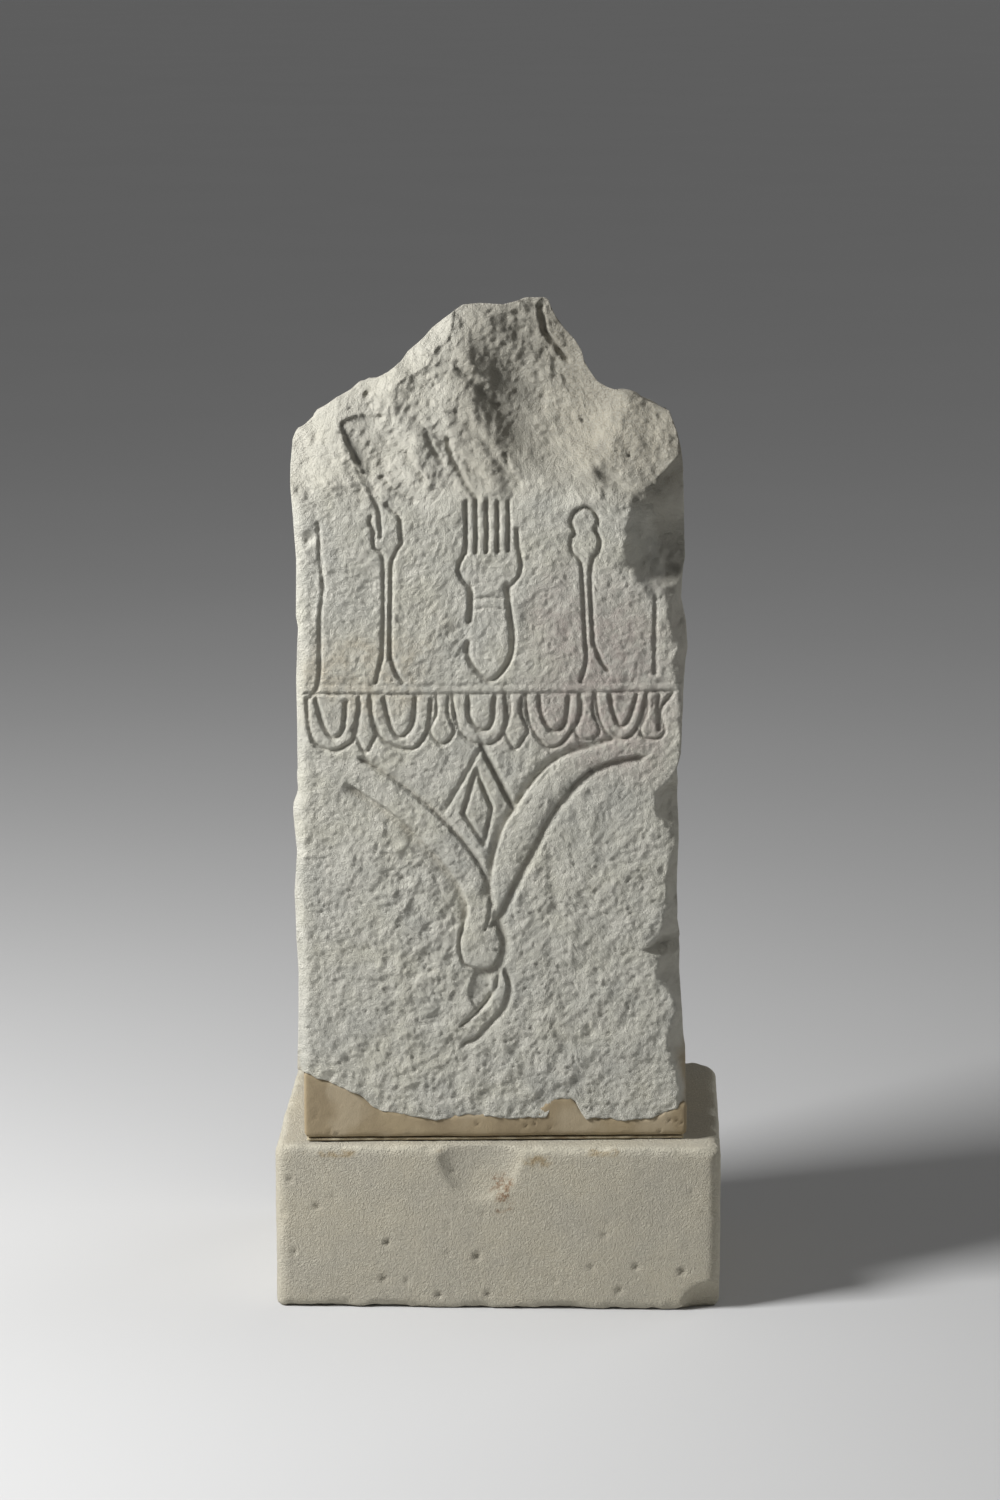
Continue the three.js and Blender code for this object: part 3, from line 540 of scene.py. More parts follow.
def broken_gable(x, z, flat):
    """Depth of the slanting break with its scoops, the left shoulder block and the left flank."""
    start = FRACTURE_FOOT + 1.5 + 2.5 * bumps(flat, 14, 2, SEED + 1)
    right = soft_max(FRACTURE_SLOPE * (z - start), np.zeros_like(x), FRACTURE_RIM)
    for *scoop, rim in SCOOPS:
        right = soft_max(right, scoop_depth(x, z, *scoop), rim)
    ledge = line_distance(x, z, curve(LEDGE))
    block = SIDE_FALL * np.clip(SHOULDER_START - x, 0, SHOULDER_REACH) * ease(*SHOULDER_HEIGHTS, z)
    block -= LEDGE_STEP * ease(*STEP_TOP_HEIGHTS, z) * ease(*STEP_FOOT_HEIGHTS, z)
    flank = SIDE_FALL * np.clip(ledge, 0, FLANK_REACH)
    rise = ease(*FLANK_HEIGHTS, z + 2.5 * bumps(flat, 8, 2, SEED + 15))
    left = soft_max(SHOULDER_SLOPE * (z - start), np.zeros_like(x), FRACTURE_RIM)
    left = left + block * (1 - rise) + flank * rise
    on_left = ease(-0.9, 0.6, ledge + 0.5 * bumps(flat, 6, 2, SEED + 2)) * ease(*LEDGE_HEIGHTS, z)
    return right * (1 - on_left) + left * on_left


def worn_edges(x, z, flat, depth, right_edge):
    """Adds the dished breaks and the worn left and right edges of the face."""
    for *place, deep in DISHES:
        away = oval(x, z, *place) + 0.1 * bumps(flat, 12, 3, SEED + 23)
        depth = soft_max(depth, deep * ease(1, 0.1, away), DISH_RIM)
    depth = soft_max(depth, RIGHT_EDGE_FALL * (x - right_edge), EDGE_RIM)
    left_fall = LEFT_EDGE_DEPTH - LEFT_EDGE_FALL * (x - outline_x(LEFT_SIDE, z))
    return soft_max(depth, left_fall + 0.7 * bumps(flat, 9, 2, SEED + 4), EDGE_RIM)


def gable_damage(x, z, depth):
    """Adds cracks, small steps and notches."""
    for line in CRACK_LINES:
        step = np.zeros_like(x)
        cut_line(step, x, z, *line)
        depth = depth + step
    for notch_x, notch_z, radius, deep in NOTCHES:
        away = oval(x, z, notch_x + CARVING_ORIGIN[0], notch_z + CARVING_ORIGIN[1], radius, radius)
        depth = depth + deep * np.clip(1 - away * away, 0, 1)
    return depth


def pocks(x, z, flat):
    """Pitted stone, as in the lower part of the face."""
    patchy = 0.45 + 0.75 * ease(-0.5, 0.6, bumps(flat, 30, 2, SEED + 16))
    lumps = 0.42 * bumps(flat, 5.2, 3, SEED + 9, 0.62)
    wide = 0.5 * pits(x, z, 5.5, 0.3, SEED + 10)
    narrow = 0.4 * pits(x + 3, z, 3.2, 0.25, SEED + 11)
    return (lumps + wide) * patchy + narrow


def fracture(x, z, flat):
    """Broken stone: facets drawn out along a slanting direction."""
    streaky = np.stack([(x + z) * 0.7, np.zeros_like(x), (z - x) * 0.7], -1) / np.array([1, 1, 2.1])
    lumps = 0.8 * bumps(streaky, 9, 4, SEED + 12, 0.6)
    facets = bowls(streaky[:, 0], streaky[:, 2], 13, 1.5, SEED + 13)
    return lumps + facets + 0.35 * bumps(flat, 2.2, 2, SEED + 14) - 0.7


def chiselled(u, v, points, facet, lump, pit_depth, seed):
    """Depth of roughly dressed stone: facets, lumps and pits."""
    depth = bowls(u, v, facet, FACET_BITE, seed) + 0.5 * bumps(points, lump, 3, seed + 1)
    return depth + pit_depth * pits(u, v, 6, 0.3, seed + 2)


def front_surface(x, z):
    """Depth of the front behind the face, and masks for the material."""
    flat = np.stack([x, np.zeros_like(x), z], -1)
    right_edge = outline_x(RIGHT_EDGE, z) + 0.9 * bumps(flat, 7, 3, SEED + 3)
    depth = worn_edges(x, z, flat, broken_gable(x, z, flat), right_edge)

    in_gable = ease(*GABLE_HEIGHTS, z - 3 * bumps(flat, 10, 2, SEED + 5))
    broken = np.clip(in_gable + ease(-1, 3, x - right_edge), 0, 1)
    pocked = ease(*POCKED_HEIGHTS, z + 16 * bumps(flat, 26, 2, SEED + 6)) * (1 - broken)
    relief = carving(x, z)
    raised = swelling(x, z)
    kept = 1 - 0.75 * ease(0.0, 4.0, depth)
    depth = depth + relief * kept - raised * (1 - broken)
    depth = gable_damage(x, z, depth)
    for *place, deep in ROUGH_PATCHES:
        away = oval(x, z, *place) + 0.3 * bumps(flat, 5, 2, SEED + 17)
        pocked = np.maximum(pocked, ease(1.1, 0.7, away))
        depth = depth + deep * ease(1.1, 0.5, away)

    calm = (1 - 0.5 * ease(0.02, 0.3, raised)) * (1 - 0.6 * ease(0.05, 0.6, relief))
    rough = 0.15 * bumps(flat, 2.2, 2, SEED + 7) + 0.26 * bumps(flat, 8, 3, SEED + 8)
    fine = 0.2 * bumps(flat, 1.25, 1, SEED + 18)
    scooped = ease(2.0, 6.0, depth) * (1 - broken)
    depth = depth + (rough + pocks(x, z, flat) * pocked) * calm + fine + fracture(x, z, flat) * broken
    depth = depth + 0.8 * bumps(flat, 8, 4, SEED + 19, 0.6) * scooped
    depth = np.clip(depth, -1.2, RIDGE_DEPTH + 1)
    return depth, ease(0.7, 1.8, relief) * (1 - broken), broken


def to_frame(x, y, z):
    """Points of the stele frame in the part's own frame, in metres."""
    c, s = math.cos(STELE_TURN), math.sin(STELE_TURN)
    x = x + STELE_SHIFT
    return np.stack([
        (x * c - y * s + STELE_PLACE[0]) * MM,
        (x * s + y * c + STELE_PLACE[1]) * MM,
        (z + SOCLE_TOP) * MM,
    ], -1)


def loop_of(a):
    """The border of a net, once round, from the lower left corner along the foot."""
    return np.concatenate([a[0, :-1], a[:-1, -1], a[-1, :0:-1], a[:0:-1, 0]])


def add_mask(piece, label, values):
    layer = piece.data.attributes.new(label, "FLOAT", "POINT")
    layer.data.foreach_set("value", np.asarray(values, np.float32))


def add_object(name, data):
    """A new object in the scene."""
    added = bpy.data.objects.new(name, data)
    bpy.context.scene.collection.objects.link(added)
    return added


def make_piece(name, points, faces, masks):
    mesh = bpy.data.meshes.new(name)
    mesh.from_pydata(points.tolist(), [], faces)
    work = bmesh.new()
    work.from_mesh(mesh)
    bmesh.ops.recalc_face_normals(work, faces=work.faces)
    work.to_mesh(mesh)
    work.free()
    mesh.shade_smooth()
    piece = add_object(name, mesh)
    for label, values in masks.items():
        add_mask(piece, label, values)
    return piece


def back_drop(y, z):
    """How much the gable's top falls behind its ridge."""
    share = np.clip((y - FACE - RIDGE_DEPTH) / (BACK - FACE - RIDGE_DEPTH), 0, 1)
    return BACK_DROP * share * ease(BACK_DROP_FROM, BACK_DROP_FULL, z)


class Skin:
    """The slab's points, masks and faces, collected sheet by sheet."""

    def __init__(self):
        self.points = []
        self.masks = []
        self.faces = []
        self.count = 0

    def add(self, x, y, z, carved, broken):
        """Takes a sheet of points and returns their numbers."""
        self.points.append(np.stack([x, y, z], -1).reshape(-1, 3))
        masks = np.broadcast_arrays(carved, broken, x)[:2]
        self.masks.append(np.stack(masks, -1).reshape(-1, 2))
        numbers = self.count + np.arange(x.size).reshape(x.shape)
        self.count += x.size
        return numbers

    def join(self, *corners):
        """One face for each place in the lists of corners."""
        self.faces += np.stack(corners, -1).reshape(-1, len(corners)).tolist()

    def join_net(self, numbers):
        self.join(numbers[:-1, :-1], numbers[:-1, 1:], numbers[1:, 1:], numbers[1:, :-1])

    def join_rings(self, last, this):
        self.join(last, np.roll(last, -1), np.roll(this, -1), this)

    def join_to_half(self, last, this):
        """Joins a ring to one that has half as many points."""
        pairs = last.reshape(-1, 2)
        after = np.roll(last, -2)[::2]
        self.join(pairs[:, 0], pairs[:, 1], after, np.roll(this, -1), this)


class Sides:
    """The slab's rim drawn back from the front's border, with the marks of a chisel."""

    def __init__(self, x, y, z):
        self.x, self.y, self.z = loop_of(x), loop_of(y), loop_of(z)
        run_x = np.roll(self.x, -BORDER_SPAN) - np.roll(self.x, BORDER_SPAN)
        run_z = np.roll(self.z, -BORDER_SPAN) - np.roll(self.z, BORDER_SPAN)
        self.inward = np.stack([-run_z, run_x], -1) / np.hypot(run_x, run_z)[:, None]
        steps = np.hypot(np.diff(self.x), np.diff(self.z))
        self.along = np.concatenate([[0], np.cumsum(steps)])
        self.off_foot = ease(0.5, 8, self.z - break_z(self.x))
        self.on_top = ease(0.3, 0.8, -self.inward[:, 1])

    def ring(self, share, step):
        """A ring at a share of the way back, with every point or every second one."""
        keep = slice(None, None, step)
        start = self.y[keep]
        y = start + (BACK - BACK_ARRIS - start) * share
        points = np.stack([self.x[keep], y, self.z[keep]], -1)
        bite = chiselled(self.along[keep], y, points, 24, 7, 0.6, SEED + 20)
        bite = np.clip(bite * (1 + 0.6 * self.on_top[keep]), -FACET_PROUD, None)
        bite *= ease(0, 9, y - start) * self.off_foot[keep]
        x = self.x[keep] + self.inward[keep, 0] * bite
        z = self.z[keep] + self.inward[keep, 1] * bite
        return x, y, z - back_drop(y, z), 0.0, np.maximum(self.on_top[keep], 0.5)


def add_sides(skin, x, y, z, numbers):
    """Rings from the front's border to the back; returns the numbers of the last one."""
    sides = Sides(x, y, z)
    last = loop_of(numbers)
    span = BACK - BACK_ARRIS - FACE
    for k in range(FINE_RINGS):
        this = skin.add(*sides.ring((k + 1) / span, 1))
        skin.join_rings(last, this)
        last = this
    near = FINE_RINGS / span
    rings = round((1 - near) * span / RING_STEP)
    for k in range(rings):
        this = skin.add(*sides.ring(near + (1 - near) * (k + 1) / rings, 2))
        if k == 0:
            skin.join_to_half(last, this)
        else:
            skin.join_rings(last, this)
        last = this
    return last


def add_back(skin, last):
    """The roughly dressed back, a net whose border is the last ring."""
    x, z = grid(FRONT_COLUMNS // 2, FRONT_ROWS // 2)
    rows, columns = x.shape
    gaps = [x - outline_x(LEFT_SIDE, z), outline_x(RIGHT_SIDE, z) - x, z - z[0], z[-1] - z]
    inside = ease(0, 5, np.minimum.reduce(gaps))
    flat_x, flat_z = x.ravel(), z.ravel()
    points = np.stack([flat_x, np.full(x.size, BACK_NOISE_Y), flat_z], -1)
    dressed = chiselled(flat_x, flat_z, points, 27, 8, 0.5, SEED + 30)
    dressed = np.clip(dressed.reshape(x.shape), -FACET_PROUD, None)
    y = BACK - (BACK_ARRIS * (1 - inside) + dressed * inside)
    z = z - back_drop(y, z)
    inner = (slice(1, -1), slice(1, -1))
    numbers = np.zeros(x.shape, int)
    numbers[inner] = skin.add(x[inner], y[inner], z[inner], 0.0, 0.5)
    lower_right, upper_right, upper_left = np.cumsum([columns - 1, rows - 1, columns - 1])
    numbers[0, :-1] = last[:lower_right]
    numbers[:-1, -1] = last[lower_right:upper_right]
    numbers[-1, :0:-1] = last[upper_right:upper_left]
    numbers[:0:-1, 0] = last[upper_left:]
    skin.join_net(numbers)


def stain_masks(points):
    """Where the stone is pink or ochre, where painted shade darkens the broken gable, and where plaster
    is smeared over it.
    """
    x, y, z = points.T
    front = ease(FACE + 30, FACE + 8, y)
    wander = bumps(points, 22, 3, SEED + 40)
    pink = ease(1.2, 0.35, oval(x, z, *PINK_PATCH) + 0.35 * wander) * front
    ochre = ease(1.2, 0.3, oval(x, z, *OCHRE_PATCH) + 0.4 * wander) * front
    shoulder = ease(1.2, 0.4, oval(x, z, *OCHRE_SHOULDER) + 0.4 * wander)
    skim = ease(*SKIM_HEIGHTS, z + 7 * wander) * ease(*SKIM_DEPTHS, y - FACE + 1.5 * wander)
    skim *= ease(*SKIM_WIDTHS, np.abs(x))
    right_of_ledge = -line_distance(x, z, curve(LEDGE))
    # Painted shade over the hollow right of the ledge and the break beyond it, stronger towards the right
    painted_shade = ease(-3, 9, right_of_ledge + 4 * wander) * ease(*PAINTED_SHADE_HEIGHTS, z + 8 * wander)
    painted_shade *= ease(*PAINTED_SHADE_LEFT, x) * (0.6 + 0.4 * ease(*PAINTED_SHADE_RIGHT, x + 8 * wander))
    return {
        "pink": pink,
        "ochre": np.maximum(ochre, 0.5 * shoulder),
        "skim": skim,
        "painted_shade": painted_shade,
    }


def build_stele():
    skin = Skin()
    x, z = grid(FRONT_COLUMNS, FRONT_ROWS)
    depth, carved, broken = (values.reshape(x.shape) for values in front_surface(x.ravel(), z.ravel()))
    y = FACE + depth
    numbers = skin.add(x, y, z, carved, broken)
    skin.join_net(numbers)
    add_back(skin, add_sides(skin, x, y, z, numbers))

    points = np.concatenate(skin.points)
    carved, broken = np.concatenate(skin.masks).T
    masks = {"carved": carved, "broken": broken, **stain_masks(points)}
    return make_piece("stele_stone", to_frame(*points.T), skin.faces, masks)


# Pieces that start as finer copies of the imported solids

def worn_copy(node, name, voxel, passes):
    """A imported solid, meshed again with even cells and with its edges rounded a little."""
    piece = add_object(name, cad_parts[node].data.copy())
    remesh = piece.modifiers.new("finer", "REMESH")
    remesh.mode = "VOXEL"
    remesh.voxel_size = voxel * MM
    smooth = piece.modifiers.new("worn", "SMOOTH")
    smooth.factor = 0.5
    smooth.iterations = passes
    graph = bpy.context.evaluated_depsgraph_get()
    mesh = bpy.data.meshes.new_from_object(piece.evaluated_get(graph))
    piece.modifiers.clear()
    piece.data = mesh
    mesh.shade_smooth()
    return piece


def mesh_points(piece):
    points = np.zeros(len(piece.data.vertices) * 3)
    piece.data.vertices.foreach_get("co", points)
    return points.reshape(-1, 3) / MM


def mesh_normals(piece):
    normals = np.zeros(len(piece.data.vertices) * 3)
    piece.data.vertex_normals.foreach_get("vector", normals)
    return normals.reshape(-1, 3)


def set_points(piece, points):
    piece.data.vertices.foreach_set("co", (points * MM).ravel())
    piece.data.update()


# Marks on the socle's front, as (x, z, radius, depth) or as ovals (x, z, half width, half height)
SOCLE_PITS = [
    (-86, 54.9, 1.0, 1.2), (-88.7, 40.6, 1.1, 1.0), (-74.7, 43.6, 1.0, 1.3), (-84.2, 23.8, 0.9, 1.0),
    (-45.7, 28.3, 1.1, 1.4), (-47.2, 12.7, 1.2, 1.3), (-37.7, 12.1, 0.9, 1.0), (-24.2, 5.8, 1.3, 1.2),
    (-8.5, 22.7, 1.5, 1.4), (-4, 6.5, 1.2, 1.0), (57.3, 19.2, 1.2, 1.2), (76.2, 17.1, 1.3, 1.3),
    (38.8, 18.6, 0.9, 1.0), (50.3, 8.6, 1.0, 1.2), (44.1, 32.4, 0.9, 1.0),
]
SOFT_PIT_RIM = 0.5
RUST_PLACE = (2.2, 51.6, 4.0, 7.0)
SPALL_PLACE = (-12, 60, 15, 15)
RESIDUES = [(-66, 66.5, 11, 1.6), (17.8, 63.6, 6.5, 2.0), (42.5, 67.6, 8, 1.6), (-20, 68, 6, 1.2)]


def build_socle():
    piece = worn_copy("socle", "socle_stone", 1.25, 3)
    p, n = mesh_points(piece), mesh_normals(piece)
    x, y, z = p.T
    front = ease(-58, -64, y)
    push = 0.07 * bumps(p, 1.9, 2, SEED + 50) + 0.16 * bumps(p, 22, 3, SEED + 51) - 0.12
    from_top_or_foot = np.minimum(z, SOCLE_TOP - z)
    gaps = [SOCLE_HALF_WIDTH - np.abs(x), SOCLE_HALF_DEPTH - np.abs(y), from_top_or_foot]
    nearest, second = np.sort(gaps, 0)[:2]
    edge = ease(4.5, 0.5, nearest + second)
    push -= edge * np.clip(0.6 + 1.1 * bumps(p, 7, 3, SEED + 52), 0, None)
    for px, pz, radius, deep in SOCLE_PITS:
        away = oval(x, z, px, pz, radius + SOFT_PIT_RIM, radius + SOFT_PIT_RIM)
        push -= front * deep * np.clip(1 - away * away, 0, 1)
    push -= 0.5 * pits(x + 0.7 * y, z, 5.0, 0.12, SEED + 53) * (1 - edge)
    p = p + n * push[:, None]
    p = np.clip(p, np.array(cad_box[0]) / MM, np.array(cad_box[1]) / MM)
    set_points(piece, p)

    rust = front * ease(1.2, 0.4, oval(x, z, *RUST_PLACE) + 0.6 * bumps(p, 3, 3, SEED + 54))
    residue = np.zeros(len(p))
    for place in RESIDUES:
        patch = oval(x, z, *place) + 0.5 * bumps(p, 4, 3, SEED + 55)
        residue = np.maximum(residue, ease(1.1, 0.7, patch))
    spall = ease(1.1, 0.8, oval(x, z, *SPALL_PLACE)) * front
    add_mask(piece, "rust", rust)
    add_mask(piece, "residue", residue * front * (1 - spall))
    add_mask(piece, "worn_edge", edge)
    return piece


# Where the stele covers the plaster, whose rim rises to meet it
COVER_MIDDLE = -5.5
COVER_HALF_WIDTH = 72
COVER_TOP = SOCLE_TOP + 14
RISE_COVERED = 0.9
RISE_OPEN = 0.2


def build_foot():
    piece = worn_copy("plaster_foot", "foot_plaster", 1.0, 2)
    p, n = mesh_points(piece), mesh_normals(piece)
    x, y, z = p.T
    push = 0.05 * bumps(p, 2.4, 2, SEED + 60) + 0.14 * bumps(p, 14, 2, SEED + 61) - 0.1
    push -= 0.8 * pits(x + 0.6 * y, z, 3.0, 0.08, SEED + 62)
    rim = ease(0.72, 0.9, n[:, 2])
    under_stone = (np.abs(x - COVER_MIDDLE) < COVER_HALF_WIDTH) | (z < COVER_TOP)
    p = p + n * (push * (1 - rim))[:, None]
    p[:, 2] += np.where(under_stone, RISE_COVERED, RISE_OPEN) * rim
    set_points(piece, p)
    add_mask(piece, "smear", ease(0.15, 0.75, bumps(p, 16, 3, SEED + 63)))
    return piece


def build_bed():
    piece = worn_copy("mortar_bed", "bed_mortar", 0.45, 1)
    p, n = mesh_points(piece), mesh_normals(piece)
    side = 1 - np.abs(n[:, 2])
    p = p + n * (side * (0.45 * bumps(p, 4, 3, SEED + 70) + 0.1))[:, None]
    set_points(piece, p)
    return piece


# Materials

# Sockets of a mix node that hold its two colours and the mixed one
MIX_A = 6
MIX_B = 7
MIX_RESULT = 2


class Shader:
    """A material's nodes, made one after another."""

    def __init__(self, name):
        self.material = bpy.data.materials.new(name)
        self.material.use_nodes = True
        self.tree = self.material.node_tree
        self.surface = self.tree.nodes["Principled BSDF"]
        self.place = self.tree.nodes.new("ShaderNodeTexCoord").outputs["Object"]

    def put(self, value, socket):
        """Links a socket, or sets a colour or a number."""
        if isinstance(value, bpy.types.NodeSocket):
            self.tree.links.new(value, socket)
        elif isinstance(value, tuple):
            socket.default_value = (*value, 1.0)
        else:
            socket.default_value = value

    def noise(self, size, detail=4.0, roughness=0.55, stretch=None):
        """Noise with bumps about size millimetres wide."""
        node = self.tree.nodes.new("ShaderNodeTexNoise")
        node.inputs["Scale"].default_value = 1 / (size * MM)
        node.inputs["Detail"].default_value = detail
        node.inputs["Roughness"].default_value = roughness
        place = self.place
        if stretch:
            mapping = self.tree.nodes.new("ShaderNodeMapping")
            mapping.inputs["Scale"].default_value = stretch
            self.tree.links.new(place, mapping.inputs["Vector"])
            place = mapping.outputs["Vector"]
        self.tree.links.new(place, node.inputs["Vector"])
        return node.outputs["Fac"]

    def spread(self, value, low, high, start=0.0, end=1.0):
        """Start up to low, end from high on, and a straight ramp between."""
        node = self.tree.nodes.new("ShaderNodeMapRange")
        self.put(value, node.inputs["Value"])
        for label, number in zip(("From Min", "From Max", "To Min", "To Max"), (low, high, start, end)):
            node.inputs[label].default_value = number
        return node.outputs["Result"]

    def combine(self, operation, a, b):
        node = self.tree.nodes.new("ShaderNodeMath")
        node.operation = operation
        self.put(a, node.inputs[0])
        self.put(b, node.inputs[1])
        return node.outputs[0]

    def times(self, a, b):
        return self.combine("MULTIPLY", a, b)

    def plus(self, a, b):
        return self.combine("ADD", a, b)

    def mask(self, label):
        """A value kept with the mesh's points."""
        node = self.tree.nodes.new("ShaderNodeAttribute")
        node.attribute_name = label
        return node.outputs["Fac"]

    def mix(self, share, a, b):
        """Colour a with a share of colour b."""
        node = self.tree.nodes.new("ShaderNodeMix")
        node.data_type = "RGBA"
        self.put(share, node.inputs["Factor"])
        self.put(a, node.inputs[MIX_A])
        self.put(b, node.inputs[MIX_B])
        return node.outputs[MIX_RESULT]

    def finish(self, colour, roughness, height, distance, specular=0.3, metallic=0.0):
        """Sets the surface; height is a socket, distance its size in millimetres."""
        self.put(colour, self.surface.inputs["Base Color"])
        self.put(roughness, self.surface.inputs["Roughness"])
        self.surface.inputs["Specular IOR Level"].default_value = specular
        self.surface.inputs["Metallic"].default_value = metallic
        bump = self.tree.nodes.new("ShaderNodeBump")
        bump.inputs["Strength"].default_value = 1.0
        bump.inputs["Distance"].default_value = distance * MM
        self.put(height, bump.inputs["Height"])
        self.tree.links.new(bump.outputs["Normal"], self.surface.inputs["Normal"])
        return self.material


# Colours, linear
STONE = (0.60, 0.582, 0.49)
STONE_PALE = (0.68, 0.66, 0.58)
STONE_GREY = (0.52, 0.512, 0.455)
STONE_OCHRE = (0.56, 0.515, 0.41)
STONE_PINK = (0.475, 0.42, 0.375)
# Broken stone, a little darker than the face
STONE_BROKEN = (0.52, 0.495, 0.42)
# Painted shade, laid over the gable's hollow and the break right of the ledge
STONE_PAINTED_SHADE = (0.27, 0.248, 0.198)
SOIL = (0.40, 0.35, 0.26)
RUST = (0.24, 0.15, 0.085)
PLASTER = (0.36, 0.288, 0.18)
PLASTER_DARK = (0.285, 0.225, 0.14)
PLASTER_PALE = (0.43, 0.36, 0.25)
SANDSTONE = (0.48, 0.442, 0.348)
SANDSTONE_PALE = (0.57, 0.54, 0.44)
SANDSTONE_GREY = (0.44, 0.41, 0.335)
MORTAR = (0.50, 0.44, 0.31)
BRASS = (0.69, 0.55, 0.34)
BRASS_DULL = (0.42, 0.32, 0.19)
FLOOR = (0.53, 0.53, 0.53)
FLOOR_PALE = (0.56, 0.56, 0.56)


def limestone_material():
    s = Shader("limestone")
    # Clouds of grey and cream
    colour = s.mix(s.spread(s.noise(28, 5), 0.38, 0.62), STONE_GREY, STONE)
    colour = s.mix(s.spread(s.noise(9, 6, 0.6), 0.45, 0.7), colour, STONE_PALE)
    # Broken stone a little darker, painted shade over the gable's hollow and the break right of the
    # ledge, and stained stone
    colour = s.mix(s.times(s.mask("broken"), 0.6), colour, STONE_BROKEN)
    colour = s.mix(s.times(s.mask("painted_shade"), 0.95), colour, STONE_PAINTED_SHADE)
    colour = s.mix(s.times(s.mask("ochre"), s.spread(s.noise(6, 6), 0.3, 0.65)), colour, STONE_OCHRE)
    colour = s.mix(s.times(s.mask("pink"), s.spread(s.noise(5, 6, 0.65), 0.25, 0.6)), colour, STONE_PINK)
    # Soil in the grooves, then soil and rust in small spots
    colour = s.mix(s.times(s.mask("carved"), s.spread(s.noise(5, 5), 0.35, 0.7, 0.05, 0.4)), colour, SOIL)
    colour = s.mix(s.spread(s.noise(7, 8, 0.75), 0.66, 0.72, 0.0, 0.65), colour, SOIL)
    colour = s.mix(s.spread(s.noise(11, 9, 0.8), 0.72, 0.76, 0.0, 0.8), colour, RUST)
    # Grains of the stone, and plaster smeared over its foot
    colour = s.mix(s.times(s.spread(s.noise(0.8, 3, 0.6), 0.35, 0.65), 0.35), colour, STONE_GREY)
    colour = s.mix(s.times(s.mask("skim"), 0.85), colour, PLASTER)
    height = s.plus(s.times(s.noise(1.3, 5, 0.7), 0.55), s.times(s.noise(0.6, 3, 0.7), 0.45))
    return s.finish(colour, s.spread(s.noise(4, 4), 0.3, 0.7, 0.86, 0.97), height, 2.1)


def plaster_material():
    s = Shader("plaster")
    # Clouds, smears and pinholes
    colour = s.mix(s.spread(s.noise(18, 5), 0.38, 0.62), PLASTER_DARK, PLASTER)
    colour = s.mix(s.times(s.mask("smear"), 0.7), colour, PLASTER_PALE)
    colour = s.mix(s.spread(s.noise(2.2, 5, 0.7), 0.62, 0.7, 0.0, 0.5), colour, PLASTER_DARK)
    height = s.plus(s.times(s.noise(2.2, 4), 0.5), s.times(s.noise(0.6, 3), 0.5))
    return s.finish(colour, s.spread(s.noise(5, 3), 0.3, 0.7, 0.72, 0.88), height, 0.22)


def socle_material():
    s = Shader("socle_stone")
    # Clouds, pale grains and dark grains
    colour = s.mix(s.spread(s.noise(30, 5), 0.4, 0.62), SANDSTONE_GREY, SANDSTONE)
    colour = s.mix(s.spread(s.noise(1.3, 4, 0.7), 0.5, 0.68, 0.0, 0.7), colour, SANDSTONE_PALE)
    colour = s.mix(s.spread(s.noise(0.9, 3, 0.7), 0.6, 0.7, 0.0, 0.6), colour, SANDSTONE_GREY)
    # Rubbed edges, plaster and rust
    colour = s.mix(s.times(s.mask("worn_edge"), 0.5), colour, SANDSTONE_PALE)
    colour = s.mix(s.times(s.mask("residue"), s.spread(s.noise(3, 5), 0.3, 0.6)), colour, PLASTER)
    colour = s.mix(s.times(s.mask("rust"), s.spread(s.noise(1.6, 5, 0.7), 0.4, 0.6)), colour, RUST)
    height = s.plus(s.times(s.noise(1.2, 3, 0.7), 0.6), s.times(s.noise(0.6, 2, 0.7), 0.4))
    return s.finish(colour, s.spread(s.noise(4, 4), 0.3, 0.7, 0.88, 0.97), height, 1.2)


def mortar_material():
    s = Shader("mortar")
    colour = s.mix(s.spread(s.noise(7, 5), 0.38, 0.62), PLASTER_DARK, MORTAR)
    return s.finish(colour, s.spread(s.noise(4, 4), 0.3, 0.7, 0.85, 0.95), s.noise(0.8, 4, 0.7), 0.3)


def brass_material():
    s = Shader("dowel_metal")
    colour = s.mix(s.spread(s.noise(5, 5, 0.65), 0.4, 0.7), BRASS, BRASS_DULL)
    drawn = s.noise(0.4, 3, 0.6, (1, 1, 0.05))
    return s.finish(colour, s.spread(s.noise(3, 5), 0.3, 0.7, 0.28, 0.5), drawn, 0.04, 0.5, 1.0)


def floor_material():
    s = Shader("floor")
    return s.finish(s.mix(s.noise(400, 2), FLOOR, FLOOR_PALE), 0.9, s.noise(3, 2), 0.02, 0.2)


def dress(piece, material, node):
    """Gives a piece its material and lets it stand for its node."""
    piece.data.materials.clear()
    piece.data.materials.append(material)
    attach(piece, "root")
    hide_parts(node)


def dress_dowels():
    brass = brass_material()
    for node in ("dowel_left", "dowel_right"):
        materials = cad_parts[node].data.materials
        materials.clear()
        materials.append(brass)


# Camera, light and floor, in metres

LENS = 100
SENSOR = 36
CAMERA_AZIMUTH = math.radians(1.8)
CAMERA_ELEVATION = math.radians(11.6)
CAMERA_DISTANCE = 1.746
CAMERA_TARGET = Vector((-0.001, 0.0, 0.223))
KEY_TOWARD = (-0.72, -0.36, 0.56)
KEY_LEVEL = 1.78
KEY_DISTANCE = 1.2
KEY_SIZE = 0.36
FILL_TOWARD = (0.86, 0.45, 0.35)
FILL_LEVEL = 0.28
FILL_ANGLE = math.radians(50)
AMBIENT_LEVEL = 0.10
SKY_LEVEL = 0.62  # what the camera sees past the floor
FLOOR_RADIUS = 40.0
FLOOR_CORNERS = 96


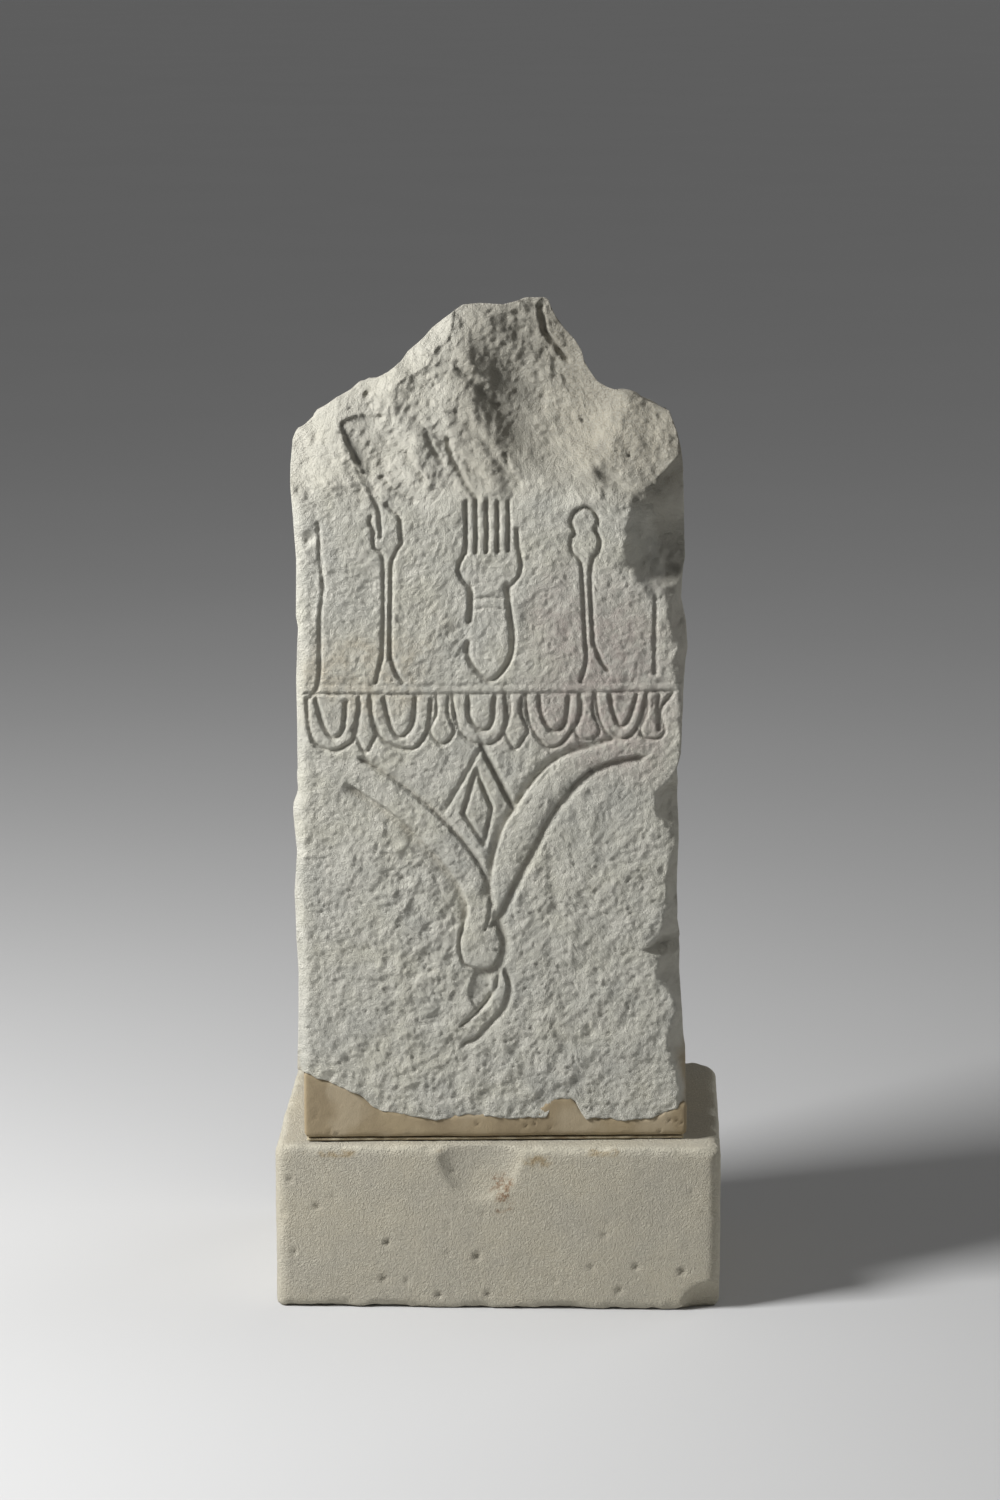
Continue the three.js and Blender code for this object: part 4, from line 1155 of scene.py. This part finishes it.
def make_camera():
    data = bpy.data.cameras.new("camera")
    data.lens = LENS
    data.sensor_width = SENSOR
    camera = add_object("camera", data)
    back = Vector((
        math.sin(CAMERA_AZIMUTH) * math.cos(CAMERA_ELEVATION),
        -math.cos(CAMERA_AZIMUTH) * math.cos(CAMERA_ELEVATION),
        math.sin(CAMERA_ELEVATION),
    ))
    right = Vector((math.cos(CAMERA_AZIMUTH), math.sin(CAMERA_AZIMUTH), 0))
    up = back.cross(right)
    turn = Matrix((right, up, back)).transposed().to_4x4()
    camera.matrix_world = Matrix.Translation(CAMERA_TARGET + back * CAMERA_DISTANCE) @ turn
    bpy.context.scene.camera = camera


def make_key():
    """A square lamp near by, so that its light falls off across the object."""
    data = bpy.data.lights.new("key", "AREA")
    data.shape = "SQUARE"
    data.size = KEY_SIZE
    data.energy = KEY_LEVEL * math.pi**2 * KEY_DISTANCE**2
    lamp = add_object("key", data)
    aim = Vector(KEY_TOWARD).normalized()
    lamp.location = CAMERA_TARGET + aim * KEY_DISTANCE
    lamp.rotation_euler = aim.to_track_quat("Z", "Y").to_euler()


def make_fill():
    """A wide, weak light from the other side."""
    data = bpy.data.lights.new("fill", "SUN")
    data.energy = FILL_LEVEL * math.pi
    data.angle = FILL_ANGLE
    lamp = add_object("fill", data)
    lamp.rotation_euler = Vector(FILL_TOWARD).to_track_quat("Z", "Y").to_euler()


def make_world():
    world = bpy.data.worlds.new("studio")
    bpy.context.scene.world = world
    world.use_nodes = True
    background = world.node_tree.nodes["Background"]
    background.inputs["Color"].default_value = (1, 1, 1, 1)
    path = world.node_tree.nodes.new("ShaderNodeLightPath")
    level = world.node_tree.nodes.new("ShaderNodeMapRange")
    level.inputs["To Min"].default_value = AMBIENT_LEVEL
    level.inputs["To Max"].default_value = SKY_LEVEL
    world.node_tree.links.new(path.outputs["Is Camera Ray"], level.inputs["Value"])
    world.node_tree.links.new(level.outputs["Result"], background.inputs["Strength"])


def make_floor():
    angles = [math.tau * k / FLOOR_CORNERS for k in range(FLOOR_CORNERS)]
    points = [(FLOOR_RADIUS * math.cos(angle), FLOOR_RADIUS * math.sin(angle), 0) for angle in angles]
    mesh = bpy.data.meshes.new("floor")
    mesh.from_pydata(points, [], [list(range(FLOOR_CORNERS))])
    floor = add_object("floor", mesh)
    floor.data.materials.append(floor_material())


bpy.context.scene.view_settings.view_transform = "Standard"
make_camera()
make_world()
make_floor()
make_key()
make_fill()

dress(build_stele(), limestone_material(), "stele")
dress(build_foot(), plaster_material(), "plaster_foot")
dress(build_socle(), socle_material(), "socle")
dress(build_bed(), mortar_material(), "mortar_bed")
dress_dowels()

bpy.context.view_layer.update()
